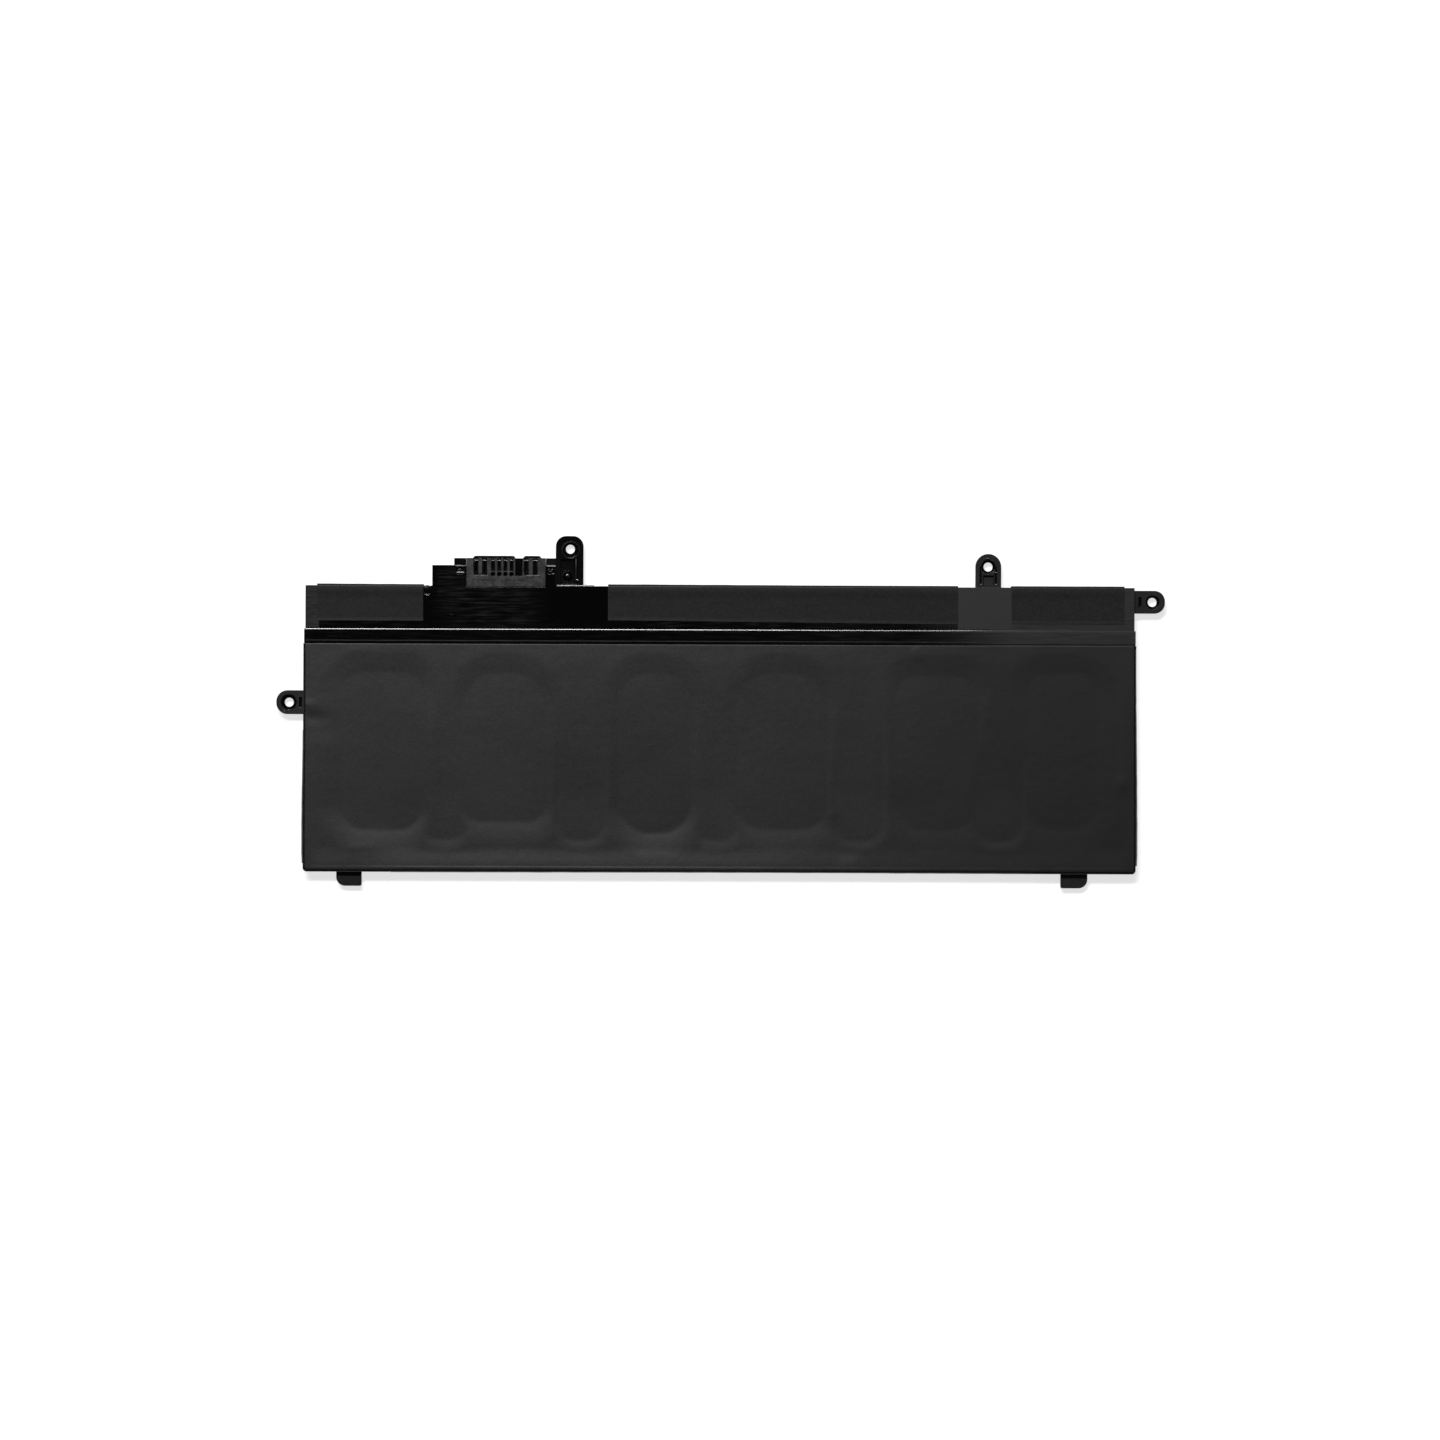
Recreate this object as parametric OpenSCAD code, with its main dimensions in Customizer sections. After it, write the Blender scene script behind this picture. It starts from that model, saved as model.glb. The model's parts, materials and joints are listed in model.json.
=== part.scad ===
// Flat laptop battery: six pouch cells side by side in a moulded frame, closed by
// a film on each face, with a protection board in the strip along the upper edge,
// a blade connector, four screw tabs and two locating feet.
// Millimetres. The pack lies on its rear face; +Z is the front, +Y the connector side.

/* [Cells] */
// Width of one cell over its folded side seals
cell_w = 35.8; // [35:0.1:37]
// Depth of a cell's body
cell_d = 56; // [52:0.5:60]
// Thickness of a cell's body
cell_t = 5.75; // [5.5:0.05:6.3]
// Gap between neighbouring cells
cell_gap = 0.8; // [0.8:0.1:1.4]
// Clearance between the outer cells and the side walls
cell_side_clear = 0.5; // [0.2:0.1:1]
// Clearance between the cells and the bottom wall
cell_end_clear = 0.4; // [0.2:0.1:1]
// Corner radius of a cell's body
cell_corner_r = 2; // [1:0.25:3]
// Thickness of a folded side seal
seal_t = 0.35; // [0.2:0.05:0.5]
// Height of a folded side seal
seal_h = 3.6; // [2.5:0.1:4.5]
// Reach of the sealed terrace past the body
terrace_d = 3.8; // [3:0.1:4.5]
// Thickness of the sealed terrace
terrace_t = 0.45; // [0.4:0.05:0.6]
// Inset of the terrace's ends from the sides of the cell's body
terrace_inset = 1; // [0.5:0.1:2]

/* [Dishes of the front film] */
// Margin between a dish's rim and the sides of the cell's body
dish_margin = 1.5; // [0.25:0.25:2]
// Distance of a dish's rim from the lower end of the cell's body
dish_low = 5.4; // [2:0.1:7]
// Distance of a dish's rim from the upper end of the cell's body
dish_high = 0.2; // [0.1:0.1:3]
// Depth of a dish, where the film is drawn down onto the cell
dish_h = 0.3; // [0.2:0.05:0.4]
// Width of a dish's slope
dish_slope = 5; // [4:0.5:6]
// Corner radius of a dish's rim
dish_r = 10.5; // [8:0.5:11]

/* [Leads] */
// Width of a cell lead
lead_w = 5; // [4:0.25:5.5]
// Thickness of a cell lead
lead_t = 0.15; // [0.1:0.01:0.2]
// Distance between the two leads of one cell
lead_pitch = 18; // [16:0.5:19]
// Length of a lead gripped inside the terrace
lead_grip = 1.5; // [1:0.1:2.5]
// Side clearance of a lead in the terrace
lead_clear = 0.05; // [0.02:0.01:0.1]
// Width of a weld pad on the board
pad_w = 6; // [5:0.25:6.5]
// Depth of a weld pad
pad_d = 3.6; // [3:0.1:4]
// Thickness of a weld pad
pad_t = 0.3; // [0.2:0.05:0.4]
// Distance of the weld pads from the board's lower edge
pad_edge = 0.7; // [0.4:0.1:0.9]
// Length of a lead left short of the pad's far edge
lead_short = 0.5; // [0.2:0.1:1]

/* [Frame] */
// Thickness of the outer walls
wall_t = 1; // [0.8:0.1:1.3]
// Thickness of the plates over the rail and the strip
plate_t = 0.8; // [0.6:0.05:1]
// Thickness of the divider between the cells and the board
divider_t = 1; // [0.8:0.1:1.2]
// Room between the terraces and the divider
lead_space = 2.4; // [1.8:0.1:3]
// Width of the raised rail between the film and the strip
rail_w = 3.6; // [3:0.1:4]
// Width of the ledge that carries the film's upper edge
ledge_w = 1.2; // [0.8:0.1:1.5]
// Height of the rail above the ledge
rail_rise = 0.2; // [0.15:0.05:0.4]
// Radius along the rail's upper edge
rail_r = 0.4; // [0.2:0.05:0.5]
// Drop from the rail to the strip's face
strip_drop = 0.6; // [0.45:0.05:0.8]
// Depth of the strip
strip_d = 11.6; // [11.5:0.1:14]
// Inset of the strip's ends from the cell bay's sides
strip_inset = 0.3; // [0.1:0.1:0.6]
// Radius of the frame's lower outside corners
frame_corner_r = 0.8; // [0.4:0.1:1.5]
// Width of a notch in the divider for a lead
notch_w = 7; // [6.5:0.1:8]
// Height of a notch above the lead
notch_over = 1; // [0.5:0.1:1.5]
// Thickness of the ribs that keep the cells apart
rib_t = 0.5; // [0.3:0.05:0.6]
// Length of those ribs
rib_l = 7; // [4:0.5:12]
// Height of those ribs
rib_h = 3.4; // [2:0.1:4]

/* [Strip face] */
// Depth of the shallow relief in the strip's face
relief_h = 0.12; // [0.05:0.01:0.2]
// Radius of the two shallow arcs above the rail
arc_r = 29.8; // [25:0.1:35]
// Height of the arcs over the rail
arc_rise = 1.33; // [0.8:0.01:2]
// Place of the first arc along the strip
arc_1_x = -4.5; // [-10:0.5:5]
// Place of the second arc along the strip
arc_2_x = 44; // [38:0.5:50]
// Radius of the half-round nick in the strip's upper edge
nick_r = 0.95; // [0.5:0.05:1.2]
// Depth of the nick
nick_d = 2.4; // [1.5:0.1:3]
// Gap between the nick and the left flap of the rear film
nick_gap = 0.15; // [0.05:0.05:0.5]
// Width of the groove beside the connector
groove_w = 1.1; // [0.8:0.1:1.6]
// Length of the groove
groove_l = 10.7; // [8:0.1:12]
// Distance of the groove's lower end from the rail
groove_y = 3.9; // [3:0.1:5]

/* [Connector] */
// Distance of the connector's middle from the strip's left end
connector_in = 53.45; // [50:0.05:56]
// Width of the connector housing
housing_w = 21.1; // [21:0.1:22]
// Depth of the housing's upper body
housing_d = 7.6; // [7:0.1:8]
// Height of the housing above the board
housing_h = 2.5; // [2.2:0.1:2.7]
// Overlap of the housing under the line of the strip's upper edge
housing_back = 0.2; // [0.1:0.05:0.4]
// Clearance around the housing
housing_clear = 0.1; // [0.05:0.05:0.2]
// Height of the housing's apron above the rear film
apron_lift = 1.2; // [1:0.1:1.6]
// Gap between the board's tongue and the apron
apron_clear = 0.2; // [0.1:0.05:0.4]
// Reach of the lips past the housing's front
lip_reach = 0.65; // [0.4:0.05:0.9]
// Height of the lips
lip_h = 2.2; // [1.5:0.1:2.6]
// Chamfer at the lips' corners
lip_chamfer = 0.5; // [0.2:0.05:0.6]
// Width of the wide slots, which hold the power contacts
wide_slot_w = 1.3; // [1.2:0.05:1.4]
// Width of the narrow slots, which hold the signal contacts
narrow_slot_w = 1; // [0.9:0.05:1.1]
// Pitch of the narrow slots
narrow_pitch = 1.65; // [1.55:0.01:1.7]
// Distance of the wide slots' ends from the housing's front
wide_slot_d = 4.4; // [4:0.1:4.6]
// Distance of the narrow slots' ends from the housing's front
narrow_slot_d = 3.4; // [3:0.1:3.6]
// Radius of the round well at the end of a narrow slot
well_r = 0.6; // [0.5:0.05:0.7]
// Distance of the wells from the housing's front
well_d = 4.3; // [4:0.05:4.4]
// Width of the keying gap
key_w = 1.9; // [1.6:0.1:2]
// Distance of the keying gap's end from the housing's front
key_d = 4.75; // [4.5:0.05:5]
// Thickness of the housing's floor over the board
slot_floor = 0.5; // [0.4:0.05:0.7]
// Depth of the two recesses in the housing's face behind the slots
label_recess = 0.2; // [0.1:0.05:0.3]
// Width of those recesses
label_w = 4.5; // [3:0.1:5]
// Depth of those recesses along the housing
label_d = 0.85; // [0.6:0.05:1]
// Distance of those recesses from the housing's rear edge
label_edge = 0.9; // [0.6:0.05:1.2]

/* [Contacts] */
// Thickness of a power contact's beams
power_beam = 0.3; // [0.25:0.01:0.32]
// Thickness of a signal contact's beams
signal_beam = 0.22; // [0.18:0.01:0.24]
// Clearance between a contact and its slot
contact_clear = 0.05; // [0.03:0.01:0.08]
// Depth of the contacts below the housing's face
contact_sink = 0.8; // [0.3:0.05:0.8]
// Distance of the contacts' tips from the housing's front
contact_tip = 0.45; // [0.3:0.05:0.6]
// Radius of the contact bump at a beam's tip
bump_r = 0.14; // [0.1:0.01:0.16]
// Radius of a contact's pin
pin_r = 0.25; // [0.2:0.01:0.3]
// Clearance around a contact's pin
pin_clear = 0.08; // [0.05:0.01:0.12]
// Length of a pin past the board's rear face
pin_proud = 0.6; // [0.4:0.05:0.9]
// Distance of the power contacts' pins from the housing's front
power_pin_y = 3.85; // [3.5:0.05:4]
// Distance of the signal contacts' pins from the housing's front
signal_pin_y = 3.05; // [2.8:0.05:3.1]

/* [Connector block] */
// Width of the frame's block to the left of the connector
block_left_w = 9; // [8:0.1:10]
// Width of the frame's block to the right of the connector
block_right_w = 2.6; // [2.4:0.1:3.2]
// Reach of the blocks past the strip's upper edge
block_d = 5.5; // [5:0.1:5.6]
// Width of the left ear
ear_left_w = 3.2; // [2.8:0.1:3.2]
// Reach of the ears past the blocks
ear_d = 1.9; // [1.5:0.1:2]
// Drop of the ears below the strip's face
ear_drop = 1; // [0.6:0.1:1.5]
// Height of the bar that joins the blocks behind the connector
bar_h = 0.85; // [0.6:0.05:0.9]
// Depth of the windows in the blocks that show the housing's catches
catch_well = 1.1; // [0.8:0.1:1.5]
// Height of a catch in its window
catch_h = 0.8; // [0.5:0.1:1]
// Radius of the left catch
catch_r = 0.9; // [0.8:0.05:1.1]
// Radius of the lobes of the right catch
lobe_r = 0.4; // [0.3:0.05:0.45]

/* [Screw tabs] */
// Radius of the screw holes
screw_r = 1.2; // [1.05:0.05:1.3]
// Height of the tabs' undersides above the frame's rear edge
tab_lift = 1.05; // [0.6:0.05:1.5]
// Thickness of the tabs
tab_t = 3.2; // [2.8:0.1:3.6]
// Thickness left under the screw heads
tab_floor = 1.4; // [1.2:0.1:1.6]
// Depth of the pockets in the tabs
tab_pocket = 1.2; // [0.8:0.1:1.4]
// Width of the tab beside the connector
tab_1_w = 7.4; // [6.8:0.1:7.6]
// Reach of that tab
tab_1_reach = 13.4; // [12:0.1:14]
// Corner radius of that tab
tab_1_r = 2.8; // [2.4:0.1:3.4]
// Distance of its hole from the strip
tab_1_hole = 9.9; // [9:0.1:10.4]
// Sideways offset of its hole
tab_1_shift = 0.15; // [0:0.05:0.3]
// Radius of its screw seat
tab_1_seat = 2.3; // [2.1:0.05:2.4]
// Margin of its pocket from the tab's left side
pocket_1_margin = 1.3; // [1:0.1:1.8]
// Width of its pocket
pocket_1_w = 3.65; // [3:0.05:3.8]
// Depth of its pocket along the tab
pocket_1_d = 6.6; // [5:0.1:6.9]
// Width of the step beside its pocket
step_1_w = 0.85; // [0.6:0.05:1]
// Radius of the domed pin in its pocket
dome_r = 1.3; // [1:0.05:1.4]
// Distance of the domed pin from the strip
dome_y = 2.7; // [2.2:0.1:4]
// Height of the domed pin above the pocket's floor
dome_h = 0.9; // [0.6:0.05:1.1]
// Distance of the tab pockets from the strip's edge
pocket_root = 0.5; // [0.3:0.1:0.8]
// Distance of the upper right tab's middle from the strip's right end
tab_2_in = 39; // [36:0.1:42]
// Width of that tab
tab_2_w = 6.9; // [6.4:0.1:7]
// Reach of that tab
tab_2_reach = 9; // [8.5:0.1:10]
// Distance of its hole from the strip
tab_2_hole = 5.55; // [5.3:0.05:5.8]
// Radius of its screw seat
tab_2_seat = 1.9; // [1.7:0.05:2]
// Width of its pocket
pocket_2_w = 2.7; // [2:0.1:2.9]
// Depth of its pocket along the tab
pocket_2_d = 2.7; // [2:0.1:2.9]
// Width of the two grooves beside its pocket
groove_2_w = 0.5; // [0.4:0.05:0.6]
// Distance of those grooves from the tab's middle
groove_2_x = 2; // [1.8:0.05:2.2]
// Distance of the right tab's middle below the strip's upper edge
tab_3_y = 3.75; // [3.6:0.05:5]
// Width of the right tab
tab_3_w = 6.1; // [5.6:0.1:6.4]
// Reach of the right tab
tab_3_reach = 8.2; // [8:0.1:9]
// Corner radius of the right tab
tab_3_r = 2.8; // [2.2:0.1:2.8]
// Distance of its hole from the strip's end
tab_3_hole = 4.9; // [4.6:0.1:5.2]
// Radius of its screw seat
tab_3_seat = 1.9; // [1.7:0.05:2.1]
// Length of the slot beside the seats of the right and left tabs
side_slot_l = 2.6; // [2:0.1:3.4]
// Width of that slot
side_slot_w = 0.7; // [0.5:0.05:0.9]
// Distance of the left tab's middle above the pack's lower edge
tab_4_y = 44.95; // [42:0.05:50]
// Width of the left tab
tab_4_w = 6.4; // [5.8:0.1:6.6]
// Reach of the left tab
tab_4_reach = 7.5; // [7:0.1:8]
// Corner radius of the left tab
tab_4_r = 3; // [2.2:0.1:3.1]
// Distance of its hole from the cell bay's side
tab_4_hole = 4.15; // [3.7:0.05:4.4]
// Radius of its screw seat
tab_4_seat = 2.1; // [1.8:0.05:2.2]

/* [Feet] */
// Distance of the left foot's middle from the pack's left side
foot_left_in = 12; // [8:0.05:20]
// Width of the left foot
foot_left_w = 6.8; // [6:0.1:7]
// Distance of the right foot's middle from the pack's right side
foot_right_in = 16.1; // [8:0.1:24]
// Width of the right foot
foot_right_w = 7.2; // [6:0.1:7.6]
// Reach of the feet past the lower edge
foot_reach = 4.05; // [3:0.05:5]
// Radius of a foot's outer corner
foot_r = 2.4; // [1.5:0.1:2.8]
// Radius of a foot's inner corner
foot_inner_r = 0.5; // [0.3:0.1:1]
// Thickness of the feet
foot_t = 2.4; // [1.8:0.1:3]
// Height of the feet above the frame's rear edge
foot_lift = 0.85; // [0.5:0.05:1.5]

/* [Films] */
// Thickness of the films
film_t = 0.15; // [0.1:0.01:0.2]
// Thickness of the adhesive tape under each cell
tape_t = 0.15; // [0.1:0.01:0.2]
// Margin of the tape inside a cell's body
tape_margin = 4; // [2:0.5:8]
// Gap between the front film's upper edge and the rail
film_gap = 0.15; // [0.05:0.05:0.3]
// Height of the front film's flaps on the walls
flap_h = 4.6; // [3:0.1:5.4]
// Lower end of the side flaps
flap_low = 2; // [1.5:0.1:4]
// Gap between the left side flap and the left tab
flap_tab_gap = 4.1; // [2:0.1:8]
// Gap between the right side flap and the line of the rail
flap_rail_gap = 1.4; // [1:0.1:8]
// Distance of the bottom flap's left end from the pack's left side
flap_bottom_in_left = 23.2; // [18:0.1:30]
// Distance of the bottom flap's right end from the pack's right side
flap_bottom_in_right = 27.7; // [20:0.1:34]
// Inset of the rear film from the frame's edges
rear_inset = 0.3; // [0.1:0.1:0.8]
// Distance of the rear film's left flap from the strip's left end
fold_a_in = 3.1; // [1.5:0.1:6]
// Gap between the rear film's left flap and the connector's block
fold_a_gap = 2.4; // [2.4:0.1:6]
// Reach of the left flap over the strip
fold_a_d = 9.4; // [7:0.1:10]
// Gap between the middle flap and the tab beside the connector
fold_b_gap = 6.6; // [3:0.1:12]
// Gap between the middle flap and the upper right tab
fold_b_end_gap = 4.65; // [2:0.05:8]
// Reach of the middle flap at its left end
fold_b_d0 = 9.1; // [7:0.1:10]
// Reach of the middle flap at its right end
fold_b_d1 = 9.9; // [7:0.1:10]
// Gap between the right flap and the upper right tab
fold_c_gap = 2.75; // [1.5:0.05:8]
// Distance of the right flap from the strip's right end
fold_c_in = 2.7; // [1.5:0.1:6]
// Reach of the right flap over the strip
fold_c_d = 9.7; // [7:0.1:10.5]

/* [Board] */
// Gap between the board's ends and the strip's end walls
board_end_gap = 3.7; // [1:0.1:5]
// Depth of the board
board_d = 8; // [7.6:0.1:8.6]
// Thickness of the board
board_t = 0.8; // [0.6:0.05:1]
// Gap between the divider and the board
board_gap = 2; // [1.8:0.1:2.2]
// Height of the posts between the strip's plate and the board
post_h = 1.95; // [1.6:0.05:2.2]
// Radius of the posts
post_r = 1.6; // [1.2:0.1:1.8]
// Radius of the pegs through the board
peg_r = 0.7; // [0.5:0.05:0.8]
// Clearance around the pegs
peg_clear = 0.1; // [0.05:0.05:0.2]
// Radius of the pegs' melted heads
head_r = 1.2; // [1:0.05:1.3]
// Height of the heads
head_h = 0.5; // [0.3:0.05:0.7]
// Distance of the pegs from the board's upper edge
peg_edge = 2; // [1.6:0.1:2.4]
// Width of the board's tongue under the connector
tongue_w = 20.7; // [20:0.1:21]
// Reach of the tongue past the strip's upper edge
tongue_d = 5.2; // [4.9:0.1:5.4]
// Width of a foam pad behind the board
foam_w = 9; // [6:0.5:11]
// Depth of a foam pad
foam_d = 2.4; // [2:0.1:2.6]

/* [Board parts] */
// Side of the gauge chip
gauge_w = 5; // [4:0.5:6]
// Side of the protector chip
guard_w = 4; // [3:0.5:5]
// Side of a switching transistor
switch_w = 3.3; // [3:0.1:4]
// Height of the chips
chip_h = 0.9; // [0.7:0.05:1.1]
// Length of the fuse
fuse_l = 4; // [3.5:0.1:4.4]
// Width of the fuse
fuse_w = 2.8; // [2.4:0.1:3.2]
// Height of the fuse
fuse_h = 1.2; // [1:0.1:1.4]
// Length of the sense resistor
sense_l = 6; // [5:0.1:6.4]
// Width of the sense resistor
sense_w = 3; // [2.5:0.1:3.2]
// Height of the sense resistor
sense_h = 0.7; // [0.5:0.1:0.9]
// Length of a small chip part
small_l = 1.6; // [1.2:0.1:1.8]
// Width of a small chip part
small_w = 0.8; // [0.6:0.1:0.9]
// Height of a small chip part
small_h = 0.55; // [0.4:0.05:0.7]
// Pitch of the small chip parts
small_pitch = 1.9; // [1.8:0.05:2.2]
// Gap between neighbouring parts on the board
part_gap = 1; // [0.8:0.1:1.2]

/* [Hidden] */
$fn = 48;
cell_count = 6;
cut = 1;
cell_pitch = cell_w + cell_gap;
bay_w = cell_count*cell_w + (cell_count - 1)*cell_gap + 2*cell_side_clear;
half_w = bay_w/2 + wall_t;
strip_half = half_w - strip_inset;
cell_y0 = wall_t + cell_end_clear;
cell_y1 = cell_y0 + cell_d;
terrace_y1 = cell_y1 + terrace_d;
divider_y0 = terrace_y1 + lead_space;
ridge_y = divider_y0 + divider_t;
rail_y0 = ridge_y - rail_w;
ledge_y0 = rail_y0 - ledge_w;
top_y = ridge_y + strip_d;
cell_z0 = film_t + tape_t;
ledge_z = cell_z0 + cell_t + dish_h;
rail_z = ledge_z + rail_rise;
rail_under_z = rail_z - plate_t;
strip_z = rail_z - strip_drop;
strip_under_z = strip_z - plate_t;
board_z1 = strip_under_z - post_h;
board_z0 = board_z1 - board_t;
board_y0 = ridge_y + board_gap;
board_y1 = board_y0 + board_d;
peg_y = board_y1 - peg_edge;
lead_z1 = board_z0 - pad_t;
lead_z0 = lead_z1 - lead_t;
terrace_z0 = (lead_z0 + lead_z1 - terrace_t)/2;
pad_y0 = board_y0 + pad_edge;
lead_y1 = pad_y0 + pad_d - lead_short;
notch_z = lead_z1 + notch_over;
body_w = cell_w - 2*seal_t;
dish_w = body_w - 2*dish_margin;
dish_d = cell_d - dish_low - dish_high;
cell_mid_y = (cell_y0 + cell_y1)/2;
dish_mid_y = cell_y0 + dish_low + dish_d/2;
connector_x = connector_in - strip_half;
housing_x0 = connector_x - housing_w/2;
housing_x1 = connector_x + housing_w/2;
housing_y0 = top_y - housing_back;
housing_y1 = housing_y0 + housing_d;
housing_z1 = board_z1 + housing_h;
opening_x0 = housing_x0 - housing_clear;
opening_x1 = housing_x1 + housing_clear;
block_x0 = opening_x0 - block_left_w;
block_x1 = opening_x1 + block_right_w;
block_y1 = top_y + block_d;
ear_y1 = block_y1 + ear_d;
ear_z = strip_z - ear_drop;
catch_y = block_y1 - catch_r - wall_t/2;
tongue_y1 = top_y + tongue_d;
apron_z0 = film_t + apron_lift;
slot_z = board_z1 + slot_floor;
contact_z1 = housing_z1 - contact_sink;
tab_z0 = film_t + tab_lift;
tab_z1 = tab_z0 + tab_t;
tab_1_x = block_x1 + tab_1_w/2;
tab_2_x = strip_half - tab_2_in;
foot_left_x = foot_left_in - half_w;
foot_right_x = half_w - foot_right_in;
flap_left_top = tab_4_y - tab_4_w/2 - flap_tab_gap;
flap_right_top = rail_y0 - flap_rail_gap;
flap_bottom_x0 = flap_bottom_in_left - half_w;
flap_bottom_x1 = half_w - flap_bottom_in_right;
fold_a_x0 = fold_a_in - strip_half;
fold_a_x1 = block_x0 - fold_a_gap;
fold_b_x0 = tab_1_x + tab_1_w/2 + fold_b_gap;
fold_b_x1 = tab_2_x - tab_2_w/2 - fold_b_end_gap;
fold_c_x0 = tab_2_x + tab_2_w/2 + fold_c_gap;
fold_c_x1 = strip_half - fold_c_in;
board_half = strip_half - wall_t - board_end_gap;
foot_z0 = film_t + foot_lift;
x_min = -half_w - tab_4_reach;
x_max = strip_half + tab_3_reach;
y_min = -foot_reach;
y_max = top_y + max(tab_1_reach, tab_2_reach);
// Centres of the slots, measured from the connector's middle
wide_slots = [-8, -5.7, 5.4, 7.8];
narrow_first = -3.45;
key_x = 3.45;
lip_1 = [-8.85, 2.45];
lip_2 = [4.55, 9.35];
function cell_x(i) = (i - (cell_count - 1)/2)*cell_pitch;
function narrow_x(i) = narrow_first + i*narrow_pitch;
peg_cells = [1, 2, 3, 4, 5];
// Bays between two leads of one cell that hold a foam pad
foam_bays = [4, 5];
function peg_x(i) = (i - cell_count/2)*cell_pitch;

// Moves the drawing so that the origin is the middle of the whole outline
module placed() {
    translate([-(x_min + x_max)/2, -(y_min + y_max)/2, 0]) children();
}

// A box between two limits along each axis
module block(x, y, z) {
    translate([x[0], y[0], z[0]]) cube([x[1] - x[0], y[1] - y[0], z[1] - z[0]]);
}

// A profile drawn in Y and Z, drawn out along X
module along_x(x0, x1) {
    translate([x0, 0, 0]) rotate([90, 0, 90]) linear_extrude(x1 - x0) children();
}

// A profile drawn in X and Z, drawn out along Y
module along_y(y0, y1) {
    translate([0, y1, 0]) rotate([90, 0, 0]) linear_extrude(y1 - y0) children();
}

// A rectangle with both far corners rounded, standing on the X axis
module tongue_2d(w, d, r) {
    translate([-w/2, 0]) square([w, d - r]);
    if (w > 2*r) translate([r - w/2, 0]) square([w - 2*r, d]);
    for (s = [-1, 1]) translate([s*(w/2 - r), d - r]) circle(r);
}

// A rectangle with four rounded corners, around the origin
module rounded_2d(w, d, r) {
    square([w, d - 2*r], center = true);
    square([w - 2*r, d], center = true);
    for (x = [-1, 1], y = [-1, 1]) translate([x*(w/2 - r), y*(d/2 - r)]) circle(r);
}

// A shallow dish with sloping sides and rounded corners, its rim at height 0
module dish() {
    bottom_r = dish_r - dish_slope;
    for (x = [-1, 1], y = [-1, 1])
        translate([x*(dish_w/2 - dish_r), y*(dish_d/2 - dish_r), -dish_h])
            cylinder(h = dish_h, r1 = bottom_r, r2 = dish_r);
    along_y(dish_r - dish_d/2, dish_d/2 - dish_r)
        polygon([[dish_slope - dish_w/2, -dish_h], [dish_w/2 - dish_slope, -dish_h],
            [dish_w/2, 0], [-dish_w/2, 0]]);
    along_x(dish_r - dish_w/2, dish_w/2 - dish_r)
        polygon([[dish_slope - dish_d/2, -dish_h], [dish_d/2 - dish_slope, -dish_h],
            [dish_d/2, 0], [-dish_d/2, 0]]);
}

// The dishes over all the cells, with their rims at height z
module dishes(z) {
    for (i = [0:cell_count - 1]) translate([cell_x(i), dish_mid_y, z]) dish();
}

// Puts a tab that points along +Y at each of the four places where one grows
module at_tab_1() { translate([tab_1_x, top_y, 0]) children(); }
module at_tab_2() { translate([tab_2_x, top_y, 0]) children(); }
module at_tab_3() { translate([strip_half, top_y - tab_3_y, 0]) rotate([0, 0, -90]) children(); }
module at_tab_4() { translate([-half_w, tab_4_y, 0]) rotate([0, 0, 90]) children(); }

// The body of a screw tab, rooted inside the wall that carries it
module tab_body(w, reach, r) {
    translate([0, 0, tab_z0]) linear_extrude(tab_t) {
        tongue_2d(w, reach, r);
        translate([-w/2, -wall_t/2]) square([w, wall_t]);
    }
}

// The screw hole of a tab with its seat
module tab_hole(hole, seat, shift = 0) {
    translate([shift, hole, tab_z0 - cut]) cylinder(h = tab_t + 2*cut, r = screw_r);
    translate([shift, hole, tab_z0 + tab_floor]) cylinder(h = tab_t, r = seat);
}

// One foot: the outer corner is wide, the inner one small
module foot(x, w, outer) {
    r0 = outer < 0 ? foot_r : foot_inner_r;
    r1 = outer < 0 ? foot_inner_r : foot_r;
    r_max = max(r0, r1);
    translate([x, 0, foot_z0]) linear_extrude(foot_t) {
        translate([-w/2, r_max - foot_reach]) square([w, foot_reach - r_max + wall_t/2]);
        translate([-w/2, r0 - foot_reach]) square([w/2, foot_reach - r0]);
        translate([0, r1 - foot_reach]) square([w/2, foot_reach - r1]);
        translate([r0 - w/2, -foot_reach]) square([w - r0 - r1, foot_reach]);
        translate([r0 - w/2, r0 - foot_reach]) circle(r0);
        translate([w/2 - r1, r1 - foot_reach]) circle(r1);
    }
}

// The walls round the cells, with the ribs that keep the cells apart
module bay_walls() {
    difference() {
        translate([0, 0, film_t]) linear_extrude(ledge_z - film_t) {
            translate([-half_w, frame_corner_r]) square([2*half_w, ridge_y - frame_corner_r]);
            translate([frame_corner_r - half_w, 0]) square([2*(half_w - frame_corner_r), ridge_y]);
            for (s = [-1, 1])
                translate([s*(half_w - frame_corner_r), frame_corner_r]) circle(frame_corner_r);
        }
        block([-bay_w/2, bay_w/2], [wall_t, divider_y0], [0, rail_z]);
    }
    for (i = peg_cells)
        block([peg_x(i) - rib_t/2, peg_x(i) + rib_t/2], [wall_t/2, wall_t + rib_l],
            [cell_z0, cell_z0 + rib_h]);
}

// The rail between the film and the strip, with a ledge for the film's edge
module rail() {
    along_x(-half_w, half_w) {
        translate([ledge_y0, rail_under_z]) square([ledge_w + rail_r, ledge_z - rail_under_z]);
        translate([rail_y0, rail_under_z]) square([rail_w, plate_t - rail_r]);
        translate([rail_y0, rail_under_z]) square([rail_w - rail_r, plate_t]);
        translate([ridge_y - rail_r, rail_z - rail_r]) circle(rail_r);
    }
}

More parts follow.
